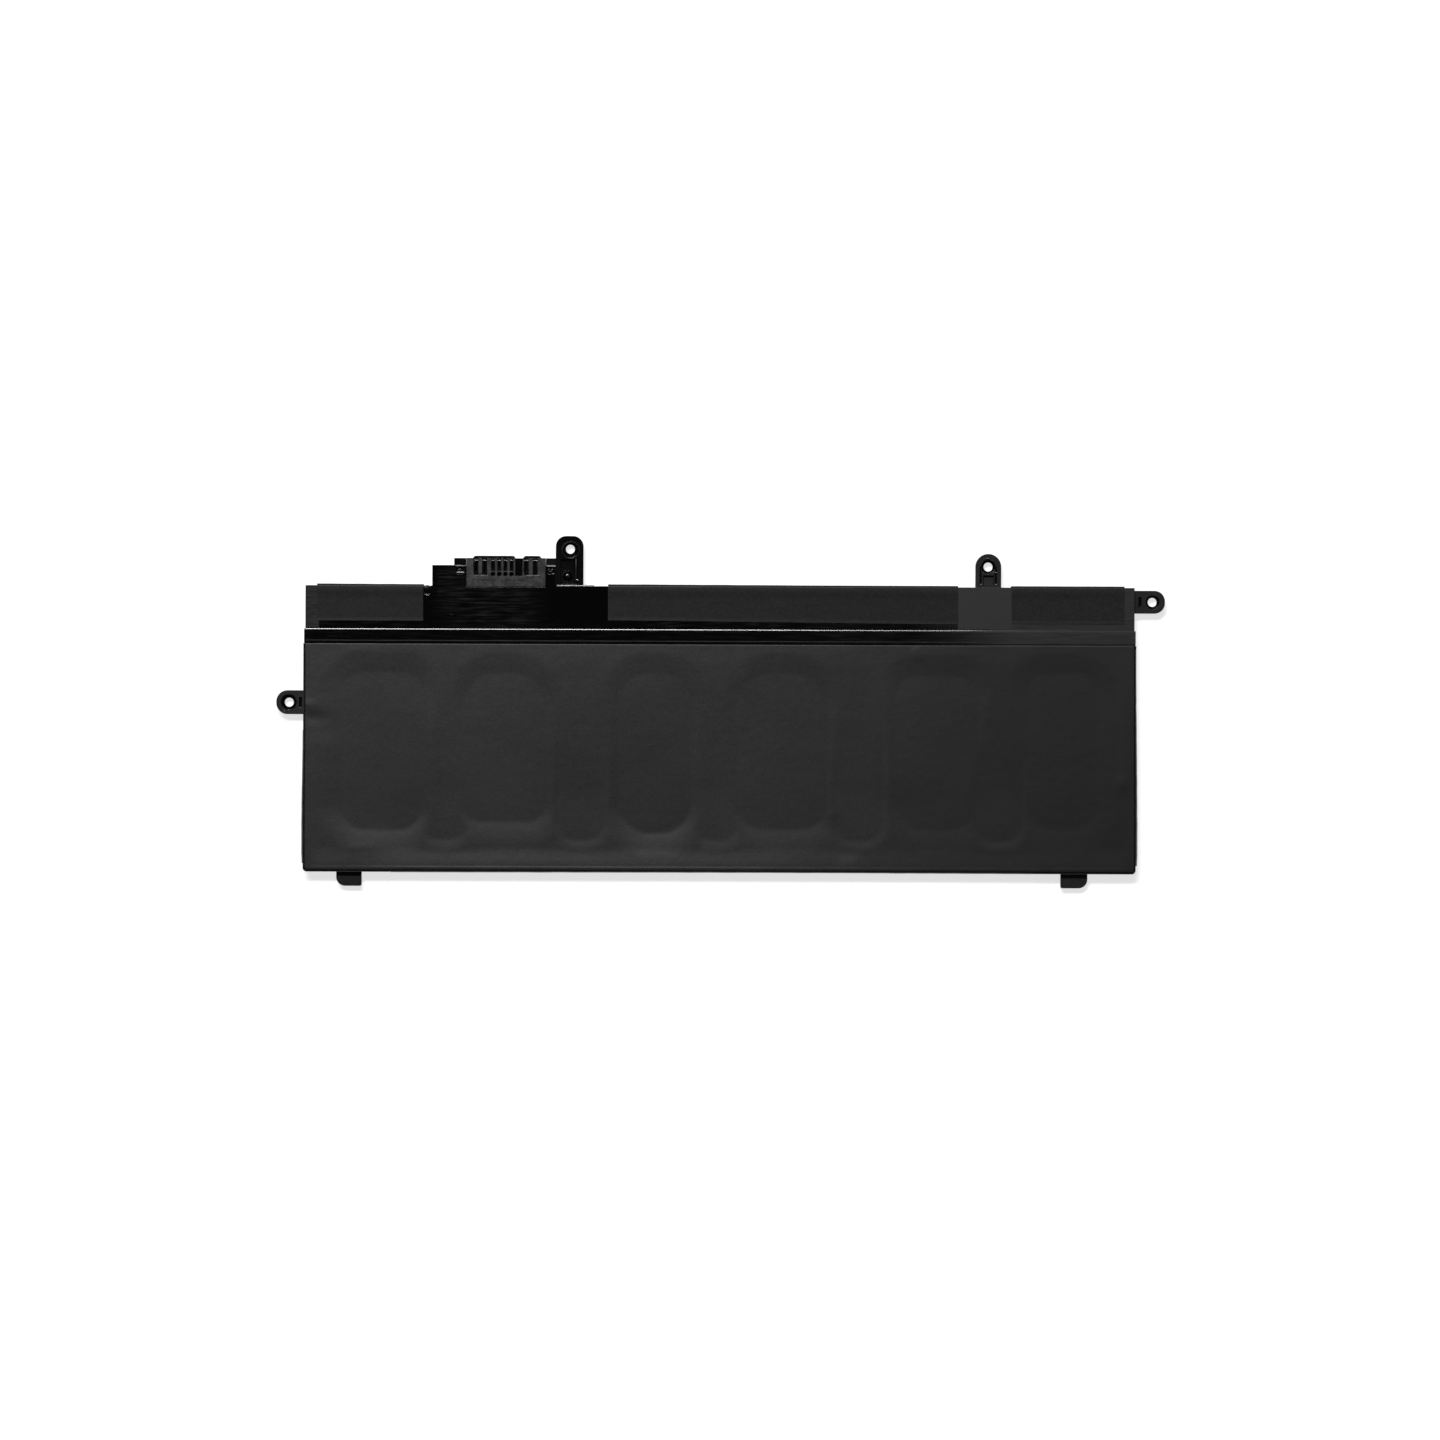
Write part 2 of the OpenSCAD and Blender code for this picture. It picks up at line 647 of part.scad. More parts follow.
// The strip's plate and walls, with the blocks on both sides of the connector
module strip() {
    block([-strip_half, strip_half], [ridge_y - divider_t/2, top_y], [strip_under_z, strip_z]);
    for (s = [-1, 1])
        block([s*strip_half - (1 + s)*wall_t/2, s*strip_half + (1 - s)*wall_t/2],
            [ridge_y - divider_t/2, top_y], [film_t, strip_z]);
    block([-strip_half, strip_half], [top_y - wall_t, top_y], [film_t, strip_z]);
    difference() {
        block([block_x0, opening_x0], [top_y - wall_t, block_y1], [film_t, strip_z]);
        block([block_x0 + wall_t, opening_x0 - wall_t], [top_y - 2*wall_t, block_y1 - wall_t],
            [0, strip_under_z]);
    }
    block([opening_x1, block_x1], [top_y - wall_t, block_y1], [film_t, strip_z]);
    block([opening_x0 - ear_left_w, opening_x0], [block_y1 - wall_t, ear_y1], [tab_z0, ear_z]);
    block([opening_x1, block_x1], [block_y1 - wall_t, ear_y1], [tab_z0, ear_z]);
}

// The posts, pegs and melted heads that hold the board
module board_posts() {
    for (i = peg_cells) translate([peg_x(i), peg_y, 0]) {
        translate([0, 0, board_z1]) cylinder(h = post_h + plate_t/2, r = post_r);
        translate([0, 0, board_z0 - head_h]) cylinder(h = board_t + head_h + cut, r = peg_r);
        translate([0, 0, board_z0 - head_h]) cylinder(h = head_h, r = head_r);
    }
}

// The shallow relief in the strip's face
module strip_relief() {
    for (x = [arc_1_x, arc_2_x]) intersection() {
        translate([x, ridge_y + arc_rise - arc_r, strip_z - relief_h])
            cylinder(h = strip_drop, r = arc_r, $fn = 180);
        block([x - arc_r, x + arc_r], [ridge_y, top_y], [strip_under_z, rail_z]);
    }
    block([opening_x0 - ear_left_w - groove_w, opening_x0 - ear_left_w],
        [ridge_y + groove_y, ridge_y + groove_y + groove_l],
        [strip_z - relief_h, strip_z + cut]);
    translate([fold_a_x1 + nick_gap + nick_r, top_y - nick_d + nick_r, 0]) {
        cylinder(h = rail_z, r = nick_r);
        translate([-nick_r, 0, 0]) cube([2*nick_r, nick_d, rail_z]);
    }
}

// The windows in the blocks that show the catches of the housing
module catch_windows() {
    for (x = [opening_x0 - ear_left_w/2, (opening_x1 + block_x1)/2])
        translate([x, catch_y, strip_z - catch_well]) {
            cylinder(h = catch_well + cut, r = catch_r + housing_clear);
            translate([-catch_r - housing_clear, -catch_r, 0])
                cube([2*(catch_r + housing_clear), catch_r, catch_well + cut]);
        }
}

// The catches: a half-round nose at the left, three small lobes at the right
module catches() {
    translate([opening_x0 - ear_left_w/2, catch_y, strip_z - catch_well]) intersection() {
        translate([0, -catch_r/2, 0]) cylinder(h = catch_h, r = catch_r);
        translate([-catch_r, -catch_r/2, 0]) cube([2*catch_r, catch_r, catch_h]);
    }
    for (a = [0, 180, 270])
        translate([(opening_x1 + block_x1)/2, catch_y, strip_z - catch_well])
            rotate([0, 0, a]) translate([catch_r/2, 0, 0]) cylinder(h = catch_h, r = lobe_r);
}

// Pockets and grooves in the faces of the tabs
module tab_pockets() {
    pocket_z = tab_z1 - tab_pocket;
    step_z = tab_z1 - tab_pocket/2;
    pocket_1_x = pocket_1_margin - tab_1_w/2;
    at_tab_1() {
        block([pocket_1_x, pocket_1_x + pocket_1_w], [pocket_root, pocket_root + pocket_1_d],
            [pocket_z, strip_z]);
        block([pocket_1_x + pocket_1_w/2, pocket_1_x + pocket_1_w + step_1_w],
            [pocket_root, tab_1_hole], [step_z, strip_z]);
    }
    at_tab_2() {
        block([-pocket_2_w/2, pocket_2_w/2], [pocket_root, pocket_root + pocket_2_d],
            [pocket_z, strip_z]);
        for (s = [-1, 1])
            block([s*groove_2_x - groove_2_w/2, s*groove_2_x + groove_2_w/2],
                [pocket_root, tab_2_hole], [step_z, strip_z]);
    }
    at_tab_3() side_slot(tab_3_hole - tab_3_seat, pocket_z);
    at_tab_4() side_slot(tab_4_hole - tab_4_seat, pocket_z);
}

// A narrow slot across a tab, halfway between its root and its screw seat
module side_slot(room, z) {
    block([-side_slot_l/2, side_slot_l/2], [(room - side_slot_w)/2, (room + side_slot_w)/2],
        [z, strip_z]);
}

// The domed pin in the pocket of the tab beside the connector
module domed_pin() {
    rise = dome_h/2;
    ball_r = (dome_r*dome_r + rise*rise)/(2*rise);
    at_tab_1() translate([pocket_1_margin + pocket_1_w/2 - tab_1_w/2, dome_y, tab_z1 - tab_pocket - cut]) {
        cylinder(h = cut + rise, r = dome_r);
        intersection() {
            translate([0, 0, cut + dome_h - ball_r]) sphere(ball_r);
            cylinder(h = cut + dome_h, r = dome_r);
        }
    }
}

// The moulded frame in one piece
module frame() {
    color([0.05, 0.05, 0.055]) placed() {
        difference() {
            union() {
                bay_walls();
                rail();
                strip();
                at_tab_1() tab_body(tab_1_w, tab_1_reach, tab_1_r);
                at_tab_2() tab_body(tab_2_w, tab_2_reach, tab_2_w/2);
                at_tab_3() tab_body(tab_3_w, tab_3_reach, tab_3_r);
                at_tab_4() tab_body(tab_4_w, tab_4_reach, tab_4_r);
                foot(foot_left_x, foot_left_w, -1);
                foot(foot_right_x, foot_right_w, 1);
            }
            for (i = [0:cell_count - 1], s = [-1, 1])
                block([cell_x(i) + s*lead_pitch/2 - notch_w/2, cell_x(i) + s*lead_pitch/2 + notch_w/2],
                    [divider_y0 - cut, ridge_y + cut], [0, notch_z]);
            block([opening_x0, opening_x1], [top_y - wall_t - housing_clear, ear_y1 + cut],
                [0, strip_under_z]);
            block([opening_x0, opening_x1], [housing_y0 - housing_clear, ear_y1 + cut],
                [board_z1, rail_z]);
            catch_windows();
            strip_relief();
            tab_pockets();
            at_tab_1() tab_hole(tab_1_hole, tab_1_seat, tab_1_shift);
            at_tab_2() tab_hole(tab_2_hole, tab_2_seat);
            at_tab_3() tab_hole(tab_3_hole, tab_3_seat);
            at_tab_4() tab_hole(tab_4_hole, tab_4_seat);
        }
        block([opening_x0 - wall_t, opening_x1 + wall_t], [block_y1 - wall_t, block_y1],
            [film_t, film_t + bar_h]);
        board_posts();
        catches();
        domed_pin();
    }
}

// A flap of the front film over a wall, as a profile around the wall's upper edge:
// the film bends over the edge with a radius of its own thickness
module flap_2d() {
    difference() {
        circle(film_t);
        translate([-film_t, -film_t]) square(film_t);
    }
    translate([0, -flap_h]) square([film_t, flap_h]);
    translate([-wall_t, 0]) square([wall_t, film_t]);
}

// The front film: a sheet with a dish over each cell and three flaps over the walls
module front_film() {
    color([0.16, 0.16, 0.165]) placed() difference() {
        union() {
            block([-half_w, half_w], [0, rail_y0 - film_gap], [ledge_z, ledge_z + film_t]);
            translate([half_w, 0, ledge_z]) along_y(flap_low, flap_right_top) flap_2d();
            mirror([1, 0, 0]) translate([half_w, 0, ledge_z]) along_y(flap_low, flap_left_top) flap_2d();
            translate([0, 0, ledge_z]) along_x(flap_bottom_x0, flap_bottom_x1) mirror([1, 0]) flap_2d();
            dishes(ledge_z);
        }
        dishes(ledge_z + film_t);
    }
}

// A flap of the rear film: up the strip's upper wall and down over its face
module rear_flap(x0, x1, d0, d1) {
    along_x(x0, x1) {
        translate([top_y, film_t]) square([film_t, strip_z - film_t]);
        translate([top_y, film_t]) circle(film_t);
        translate([top_y, strip_z]) circle(film_t);
        translate([top_y - wall_t/2, strip_z]) square([wall_t/2, film_t]);
    }
    translate([0, 0, strip_z]) linear_extrude(film_t)
        polygon([[x0, top_y - d0], [x1, top_y - d1], [x1, top_y], [x0, top_y]]);
}

// The rear film: a flat sheet with three flaps folded over the upper edge
module rear_film() {
    color([0.15, 0.15, 0.155]) placed() difference() {
        union() {
            block([rear_inset - strip_half, strip_half - rear_inset], [rear_inset, top_y], [0, film_t]);
            block([block_x0 + rear_inset, block_x1 - rear_inset], [top_y - wall_t, block_y1 - rear_inset],
                [0, film_t]);
            rear_flap(fold_a_x0, fold_a_x1, fold_a_d, fold_a_d);
            rear_flap(fold_b_x0, fold_b_x1, fold_b_d0, fold_b_d1);
            rear_flap(fold_c_x0, fold_c_x1, fold_c_d, fold_c_d);
        }
        block([-half_w, half_w], [ridge_y + cell_end_clear, top_y], [film_t, strip_z]);
    }
}

// One sealed pouch cell: body, folded side seals and terrace with slots for the leads
module cell(i) {
    color([0.72, 0.73, 0.75]) placed() translate([cell_x(i), 0, 0]) difference() {
        union() {
            translate([0, cell_mid_y, cell_z0]) linear_extrude(cell_t)
                rounded_2d(body_w, cell_d, cell_corner_r);
            for (s = [-1, 1])
                block([s*body_w/2 - seal_t, s*body_w/2 + seal_t],
                    [cell_y0 + cell_corner_r, cell_y1 - cell_corner_r],
                    [terrace_z0, terrace_z0 + seal_h]);
            block([terrace_inset - body_w/2, body_w/2 - terrace_inset],
                [cell_y1 - cell_corner_r, terrace_y1], [terrace_z0, terrace_z0 + terrace_t]);
        }
        for (s = [-1, 1])
            block([s*lead_pitch/2 - lead_w/2 - lead_clear, s*lead_pitch/2 + lead_w/2 + lead_clear],
                [terrace_y1 - lead_grip, terrace_y1 + cut], [lead_z0, lead_z1]);
    }
}

// A lead from a cell's terrace to its weld pad: the left one of a cell is positive
module lead(i, side) {
    x = cell_x(i) + side*lead_pitch/2;
    color(side < 0 ? [0.82, 0.82, 0.84] : [0.75, 0.72, 0.66]) placed()
        block([x - lead_w/2, x + lead_w/2], [terrace_y1 - lead_grip, lead_y1], [lead_z0, lead_z1]);
}

// The adhesive tape between a cell and the rear film
module cell_tape(i) {
    color([0.9, 0.9, 0.88]) placed() translate([cell_x(i), cell_mid_y, film_t])
        linear_extrude(tape_t) rounded_2d(body_w - 2*tape_margin, cell_d - 2*tape_margin, cell_corner_r);
}

// The protection board with its tongue under the connector
module circuit_board() {
    color([0.05, 0.06, 0.055]) placed() difference() {
        union() {
            block([-board_half, board_half], [board_y0, board_y1], [board_z0, board_z1]);
            block([connector_x - tongue_w/2, connector_x + tongue_w/2], [board_y1 - wall_t, tongue_y1],
                [board_z0, board_z1]);
        }
        for (i = peg_cells) translate([peg_x(i), peg_y, 0]) cylinder(h = rail_z, r = peg_r + peg_clear);
        pin_holes(rail_z);
    }
}

// The weld pads on the rear face of the board
module weld_pads() {
    color([0.8, 0.78, 0.72]) placed() for (i = [0:cell_count - 1], s = [-1, 1])
        translate([cell_x(i) + s*lead_pitch/2, 0, 0])
            block([-pad_w/2, pad_w/2], [pad_y0, pad_y0 + pad_d], [lead_z1, board_z0]);
}

// Foam pads between the board and the rear film
module board_foam() {
    color([0.2, 0.2, 0.21]) placed() for (i = foam_bays)
        block([cell_x(i) - foam_w/2, cell_x(i) + foam_w/2], [board_y1 - foam_d, board_y1],
            [film_t, board_z0]);
}

// The holes for the pins of all the contacts
module pin_holes(h) {
    for (x = wide_slots) translate([connector_x + x, housing_y1 - power_pin_y, 0])
        cylinder(h = h, r = pin_r + pin_clear);
    for (i = [0:3]) translate([connector_x + narrow_x(i), housing_y1 - signal_pin_y, 0])
        cylinder(h = h, r = pin_r + pin_clear);
}

// A slot that is open at the face and at the front of the housing
module slot(x, w, d) {
    block([connector_x + x - w/2, connector_x + x + w/2],
        [housing_y1 - d, housing_y1 + lip_reach + cut], [slot_z, housing_z1 + cut]);
}

// One lip at the foot of the housing's front, with chamfered corners
module lip(limits) {
    translate([connector_x, housing_y1, apron_z0]) linear_extrude(lip_h)
        polygon([[limits[0], -lip_reach], [limits[1], -lip_reach],
            [limits[1], lip_reach - lip_chamfer], [limits[1] - lip_chamfer, lip_reach],
            [limits[0] + lip_chamfer, lip_reach], [limits[0], lip_reach - lip_chamfer]]);
}

// The connector housing on the board's front face, with an apron in front of the tongue
module connector_housing() {
    color([0.22, 0.22, 0.23]) placed() difference() {
        union() {
            block([housing_x0, housing_x1], [housing_y0, housing_y1], [board_z1, housing_z1]);
            block([housing_x0, housing_x1], [tongue_y1 + apron_clear, housing_y1],
                [apron_z0, housing_z1]);
            lip(lip_1);
            lip(lip_2);
        }
        for (x = wide_slots) slot(x, wide_slot_w, wide_slot_d);
        for (i = [0:3]) {
            slot(narrow_x(i), narrow_slot_w, narrow_slot_d);
            translate([connector_x + narrow_x(i), housing_y1 - well_d, slot_z])
                cylinder(h = housing_h, r = well_r);
        }
        slot(key_x, key_w, key_d);
        pin_holes(slot_z + cut);
        for (x = [lip_1[0] + wide_slot_w, 0])
            block([connector_x + x, connector_x + x + label_w],
                [housing_y0 + label_edge, housing_y0 + label_edge + label_d],
                [housing_z1 - label_recess, housing_z1 + cut]);
    }
}

// A forked contact: two beams with bumps at their tips, a bridge and a pin
module contact(x, w, beam, pin_y) {
    y_tip = housing_y1 - contact_tip;
    y_pin = housing_y1 - pin_y;
    half = w/2 - contact_clear;
    color([0.55, 0.54, 0.52]) placed() translate([connector_x + x, 0, 0]) {
        for (s = [-1, 1]) {
            block([s*half - (s + 1)*beam/2, s*half - (s - 1)*beam/2], [y_pin, y_tip], [slot_z, contact_z1]);
            translate([s*(half - beam), y_tip - 2*bump_r, slot_z])
                cylinder(h = contact_z1 - slot_z, r = bump_r);
        }
        block([-half, half], [y_pin - pin_r, y_pin + pin_r], [slot_z, contact_z1]);
        translate([0, y_pin, board_z0 - pin_proud])
            cylinder(h = slot_z + pin_r - board_z0 + pin_proud, r = pin_r);
    }
}
module power_contact(i) { contact(wide_slots[i], wide_slot_w, power_beam, power_pin_y); }
module signal_contact(i) { contact(narrow_x(i), narrow_slot_w, signal_beam, signal_pin_y); }

// A chip on the rear face of the board, centred on a place along the board
module chip(x, w, l, h) {
    block([x - w/2, x + w/2], [board_y0 + (board_d - l)/2, board_y0 + (board_d + l)/2],
        [board_z0 - h, board_z0]);
}
module gauge_chip() {
    color([0.06, 0.06, 0.07]) placed() chip(cell_x(2), gauge_w, gauge_w, chip_h);
}
module protector_chip() {
    color([0.06, 0.06, 0.07]) placed() chip(cell_x(3), guard_w, guard_w, chip_h);
}
module charge_switch() {
    color([0.07, 0.07, 0.08]) placed()
        chip(cell_x(0) - (part_gap + switch_w)/2, switch_w, switch_w, chip_h);
}
module discharge_switch() {
    color([0.07, 0.07, 0.08]) placed()
        chip(cell_x(0) + (part_gap + switch_w)/2, switch_w, switch_w, chip_h);
}
module fuse() {
    color([0.75, 0.75, 0.72]) placed()
        chip(cell_x(1) - (part_gap + fuse_w)/2, fuse_w, fuse_l, fuse_h);
}
module sense_resistor() {
    color([0.1, 0.1, 0.1]) placed()
        chip(cell_x(1) + (part_gap + sense_w)/2, sense_w, sense_l, sense_h);
}

// A column of small parts on each side of the gauge chip and of the protector chip
module small_chip_parts() {
    color([0.6, 0.5, 0.4]) placed()
        for (bay = [[2, gauge_w], [3, guard_w]], s = [-1, 1], j = [-1:1])
            translate([cell_x(bay[0]) + s*(bay[1] + small_w + part_gap)/2,
                board_y0 + board_d/2 + j*small_pitch, board_z0 - small_h])
                translate([-small_w/2, -small_l/2, 0]) cube([small_w, small_l, small_h]);
}

frame();
front_film();
rear_film();
cell(0);  // cell_1
cell(1);  // cell_2
cell(2);  // cell_3
cell(3);  // cell_4
cell(4);  // cell_5
cell(5);  // cell_6
lead(0, -1);  // cell_1_positive_lead
lead(0, 1);  // cell_1_negative_lead
lead(1, -1);  // cell_2_positive_lead
lead(1, 1);  // cell_2_negative_lead
lead(2, -1);  // cell_3_positive_lead
lead(2, 1);  // cell_3_negative_lead
lead(3, -1);  // cell_4_positive_lead
lead(3, 1);  // cell_4_negative_lead
lead(4, -1);  // cell_5_positive_lead
lead(4, 1);  // cell_5_negative_lead
lead(5, -1);  // cell_6_positive_lead
lead(5, 1);  // cell_6_negative_lead
cell_tape(0);  // cell_tape_1
cell_tape(1);  // cell_tape_2
cell_tape(2);  // cell_tape_3
cell_tape(3);  // cell_tape_4
cell_tape(4);  // cell_tape_5
cell_tape(5);  // cell_tape_6
circuit_board();
weld_pads();
board_foam();
connector_housing();
power_contact(0);  // power_contact_1
power_contact(1);  // power_contact_2
power_contact(2);  // power_contact_3
power_contact(3);  // power_contact_4
signal_contact(0);  // signal_contact_1
signal_contact(1);  // signal_contact_2
signal_contact(2);  // signal_contact_3
signal_contact(3);  // signal_contact_4
gauge_chip();
protector_chip();
charge_switch();
discharge_switch();
fuse();
sense_resistor();
small_chip_parts();
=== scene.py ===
import json
import math
import bmesh
import bpy
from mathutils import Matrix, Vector, noise


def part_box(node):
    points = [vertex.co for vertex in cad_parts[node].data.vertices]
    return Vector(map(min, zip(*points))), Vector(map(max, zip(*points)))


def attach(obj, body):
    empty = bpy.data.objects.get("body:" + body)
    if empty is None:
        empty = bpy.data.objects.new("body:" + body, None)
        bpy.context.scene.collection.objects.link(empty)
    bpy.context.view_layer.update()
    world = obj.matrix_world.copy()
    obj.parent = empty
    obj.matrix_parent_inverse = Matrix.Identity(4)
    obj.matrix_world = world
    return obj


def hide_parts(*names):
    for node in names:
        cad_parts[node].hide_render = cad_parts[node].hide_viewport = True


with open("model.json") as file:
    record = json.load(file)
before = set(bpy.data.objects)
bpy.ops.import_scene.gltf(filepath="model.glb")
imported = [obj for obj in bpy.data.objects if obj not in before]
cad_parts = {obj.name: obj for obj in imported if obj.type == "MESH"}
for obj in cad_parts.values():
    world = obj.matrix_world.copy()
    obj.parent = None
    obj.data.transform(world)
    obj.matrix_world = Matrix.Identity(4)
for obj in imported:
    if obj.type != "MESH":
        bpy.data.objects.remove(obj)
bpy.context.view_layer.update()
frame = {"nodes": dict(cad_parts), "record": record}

mm = 0.001
scene = bpy.context.scene
nodes = frame["nodes"]
originX, originY = 0.2, 42.775  # body corner to the middle of the outline, mm


def place(x, y, z):
    # millimetres from the body's lower edge and middle to metres in the frame
    return Vector(((x - originX) * mm, (y - originY) * mm, z * mm))


def selectOnly(obj):
    bpy.ops.object.select_all(action="DESELECT")
    obj.select_set(True)
    bpy.context.view_layer.objects.active = obj


# The look of the whole picture

pictureSetup = {
    "cameraHeight": 1.700,
    "frameWidth": 0.384,        # what the square picture spans at the pack's face
    "faceHeight": 6.55,
    "lookAt": (0.1, 40.6),
    "roll": 0.206,              # degrees
    "floorColour": 0.92,
    "floorGlow": 0.70,
    "floorSize": 6,             # metres
    "backgroundTop": 0.12,      # how far up the pale background reaches, as the sine of its height
    "backgroundSoft": 0.12,     # and how softly it ends
    "roomColour": (0.9, 0.94, 1.0, 1),
    "roomStrength": 0.025,
    "sensorWidth": 36,
}

scene.view_settings.view_transform = "Standard"


def addClamped(nt, first, second):
    # the sum of two values, 1 at most
    total = nt.nodes.new("ShaderNodeMath")
    total.use_clamp = True
    nt.links.new(first, total.inputs[0])
    nt.links.new(second, total.inputs[1])
    return total.outputs[0]


def makeWorld():
    s = pictureSetup
    world = bpy.data.worlds.new("studioAir")
    scene.world = world
    world.use_nodes = True
    nt = world.node_tree
    nt.nodes.clear()
    out = nt.nodes.new("ShaderNodeOutputWorld")
    mix = nt.nodes.new("ShaderNodeMixShader")
    dark = nt.nodes.new("ShaderNodeBackground")
    white = nt.nodes.new("ShaderNodeBackground")
    path = nt.nodes.new("ShaderNodeLightPath")
    dark.inputs["Color"].default_value = s["roomColour"]
    dark.inputs["Strength"].default_value = s["roomStrength"]
    white.inputs["Color"].default_value = (1, 1, 1, 1)
    white.inputs["Strength"].default_value = 1.0
    # glossy and clear surfaces see the pale background round the pack, not overhead
    coords = nt.nodes.new("ShaderNodeTexCoord")
    split = nt.nodes.new("ShaderNodeSeparateXYZ")
    lowDown = nt.nodes.new("ShaderNodeMapRange")
    lowDown.inputs["From Min"].default_value = s["backgroundTop"]
    lowDown.inputs["From Max"].default_value = s["backgroundTop"] - s["backgroundSoft"]
    nt.links.new(coords.outputs["Generated"], split.inputs[0])
    nt.links.new(split.outputs["Z"], lowDown.inputs["Value"])
    mirrored = addClamped(nt, path.outputs["Is Glossy Ray"], path.outputs["Is Transmission Ray"])
    aroundIt = nt.nodes.new("ShaderNodeMath")
    aroundIt.operation = "MULTIPLY"
    nt.links.new(mirrored, aroundIt.inputs[0])
    nt.links.new(lowDown.outputs["Result"], aroundIt.inputs[1])
    seen = addClamped(nt, path.outputs["Is Camera Ray"], aroundIt.outputs[0])
    nt.links.new(seen, mix.inputs["Fac"])
    nt.links.new(dark.outputs[0], mix.inputs[1])
    nt.links.new(white.outputs[0], mix.inputs[2])
    nt.links.new(mix.outputs[0], out.inputs["Surface"])


def makeFloor():
    bpy.ops.object.select_all(action="DESELECT")
    bpy.ops.mesh.primitive_plane_add(size=pictureSetup["floorSize"], location=(0, 0, 0))
    floor = bpy.context.object
    floor.name = "floor"
    mat = bpy.data.materials.new("whiteFloor")
    mat.use_nodes = True
    nt = mat.node_tree
    nt.nodes.clear()
    out = nt.nodes.new("ShaderNodeOutputMaterial")
    add = nt.nodes.new("ShaderNodeAddShader")
    diffuse = nt.nodes.new("ShaderNodeBsdfDiffuse")
    glow = nt.nodes.new("ShaderNodeEmission")
    path = nt.nodes.new("ShaderNodeLightPath")
    strength = nt.nodes.new("ShaderNodeMath")
    strength.operation = "MULTIPLY"
    strength.inputs[1].default_value = pictureSetup["floorGlow"]
    c = pictureSetup["floorColour"]
    diffuse.inputs["Color"].default_value = (c, c, c, 1)
    mirrored = addClamped(nt, path.outputs["Is Glossy Ray"], path.outputs["Is Transmission Ray"])
    seen = addClamped(nt, path.outputs["Is Camera Ray"], mirrored)
    nt.links.new(seen, strength.inputs[0])
    nt.links.new(strength.outputs[0], glow.inputs["Strength"])
    nt.links.new(diffuse.outputs[0], add.inputs[0])
    nt.links.new(glow.outputs[0], add.inputs[1])
    nt.links.new(add.outputs[0], out.inputs["Surface"])
    floor.data.materials.append(mat)


def makeCamera():
    s = pictureSetup
    data = bpy.data.cameras.new("camera")
    data.sensor_width = s["sensorWidth"]
    data.lens = s["sensorWidth"] * s["cameraHeight"] / s["frameWidth"]
    cam = bpy.data.objects.new("camera", data)
    scene.collection.objects.link(cam)
    cam.location = place(*s["lookAt"], s["faceHeight"]) + Vector((0, 0, s["cameraHeight"]))
    cam.rotation_euler = (0, 0, math.radians(s["roll"]))
    data.clip_start, data.clip_end = 0.05, 20
    scene.camera = cam


lamps = {
    # name: (place in metres, width, depth, watts, point it looks at)
    "keyBox": ((-0.235, 0.72, 1.72), 0.66, 0.19, 16.2, (0, 0, 0)),
    "keyEnd": ((0.14, 0.72, 1.72), 0.09, 0.19, 0.8, (0, 0, 0)),
    "paleCeiling": ((0.60, 0.0, 1.60), 0.50, 1.00, 0.5, (0.60, 0, 0)),
}


def makeLamps():
    for name, (where, wide, deep, watts, aim) in lamps.items():
        data = bpy.data.lights.new(name, "AREA")
        data.shape = "RECTANGLE"
        data.size, data.size_y = wide, deep
        data.energy = watts
        lamp = bpy.data.objects.new(name, data)
        scene.collection.objects.link(lamp)
        lamp.location = where
        lamp.rotation_euler = (Vector(aim) - Vector(where)).to_track_quat("-Z", "Y").to_euler()


makeWorld()
makeFloor()
makeCamera()
makeLamps()
print("stage, camera and lamps made")


# Shader groups and materials

def newGroup(name, inputs, outputs):
    group = bpy.data.node_groups.new(name, "ShaderNodeTree")
    for label, kind, value in inputs:
        socket = group.interface.new_socket(label, in_out="INPUT", socket_type=kind)
        socket.default_value = value
    for label, kind in outputs:
        group.interface.new_socket(label, in_out="OUTPUT", socket_type=kind)
    return group, group.nodes.new("NodeGroupInput"), group.nodes.new("NodeGroupOutput")


def makeGrainGroup():
    # fine moulded or coated grain: a height for bump and a value between 0 and 1
    group, gin, gout = newGroup("fineGrain",
        [("Scale", "NodeSocketFloat", 3000.0), ("Coarse", "NodeSocketFloat", 0.35)],
        [("Height", "NodeSocketFloat"), ("Mask", "NodeSocketFloat")])
    n, l = group.nodes, group.links
    coords = n.new("ShaderNodeTexCoord")
    fine = n.new("ShaderNodeTexNoise")
    fine.inputs["Detail"].default_value = 3
    wide = n.new("ShaderNodeTexNoise")
    wide.inputs["Detail"].default_value = 2
    third = n.new("ShaderNodeMath")
    third.operation = "DIVIDE"
    third.inputs[1].default_value = 3.3
    mix = n.new("ShaderNodeMix")
    l.new(coords.outputs["Object"], fine.inputs["Vector"])
    l.new(coords.outputs["Object"], wide.inputs["Vector"])
    l.new(gin.outputs["Scale"], fine.inputs["Scale"])
    l.new(gin.outputs["Scale"], third.inputs[0])
    l.new(third.outputs[0], wide.inputs["Scale"])
    l.new(gin.outputs["Coarse"], mix.inputs[0])
    l.new(fine.outputs["Fac"], mix.inputs[2])
    l.new(wide.outputs["Fac"], mix.inputs[3])
    l.new(mix.outputs[0], gout.inputs["Height"])
    l.new(mix.outputs[0], gout.inputs["Mask"])
    return group


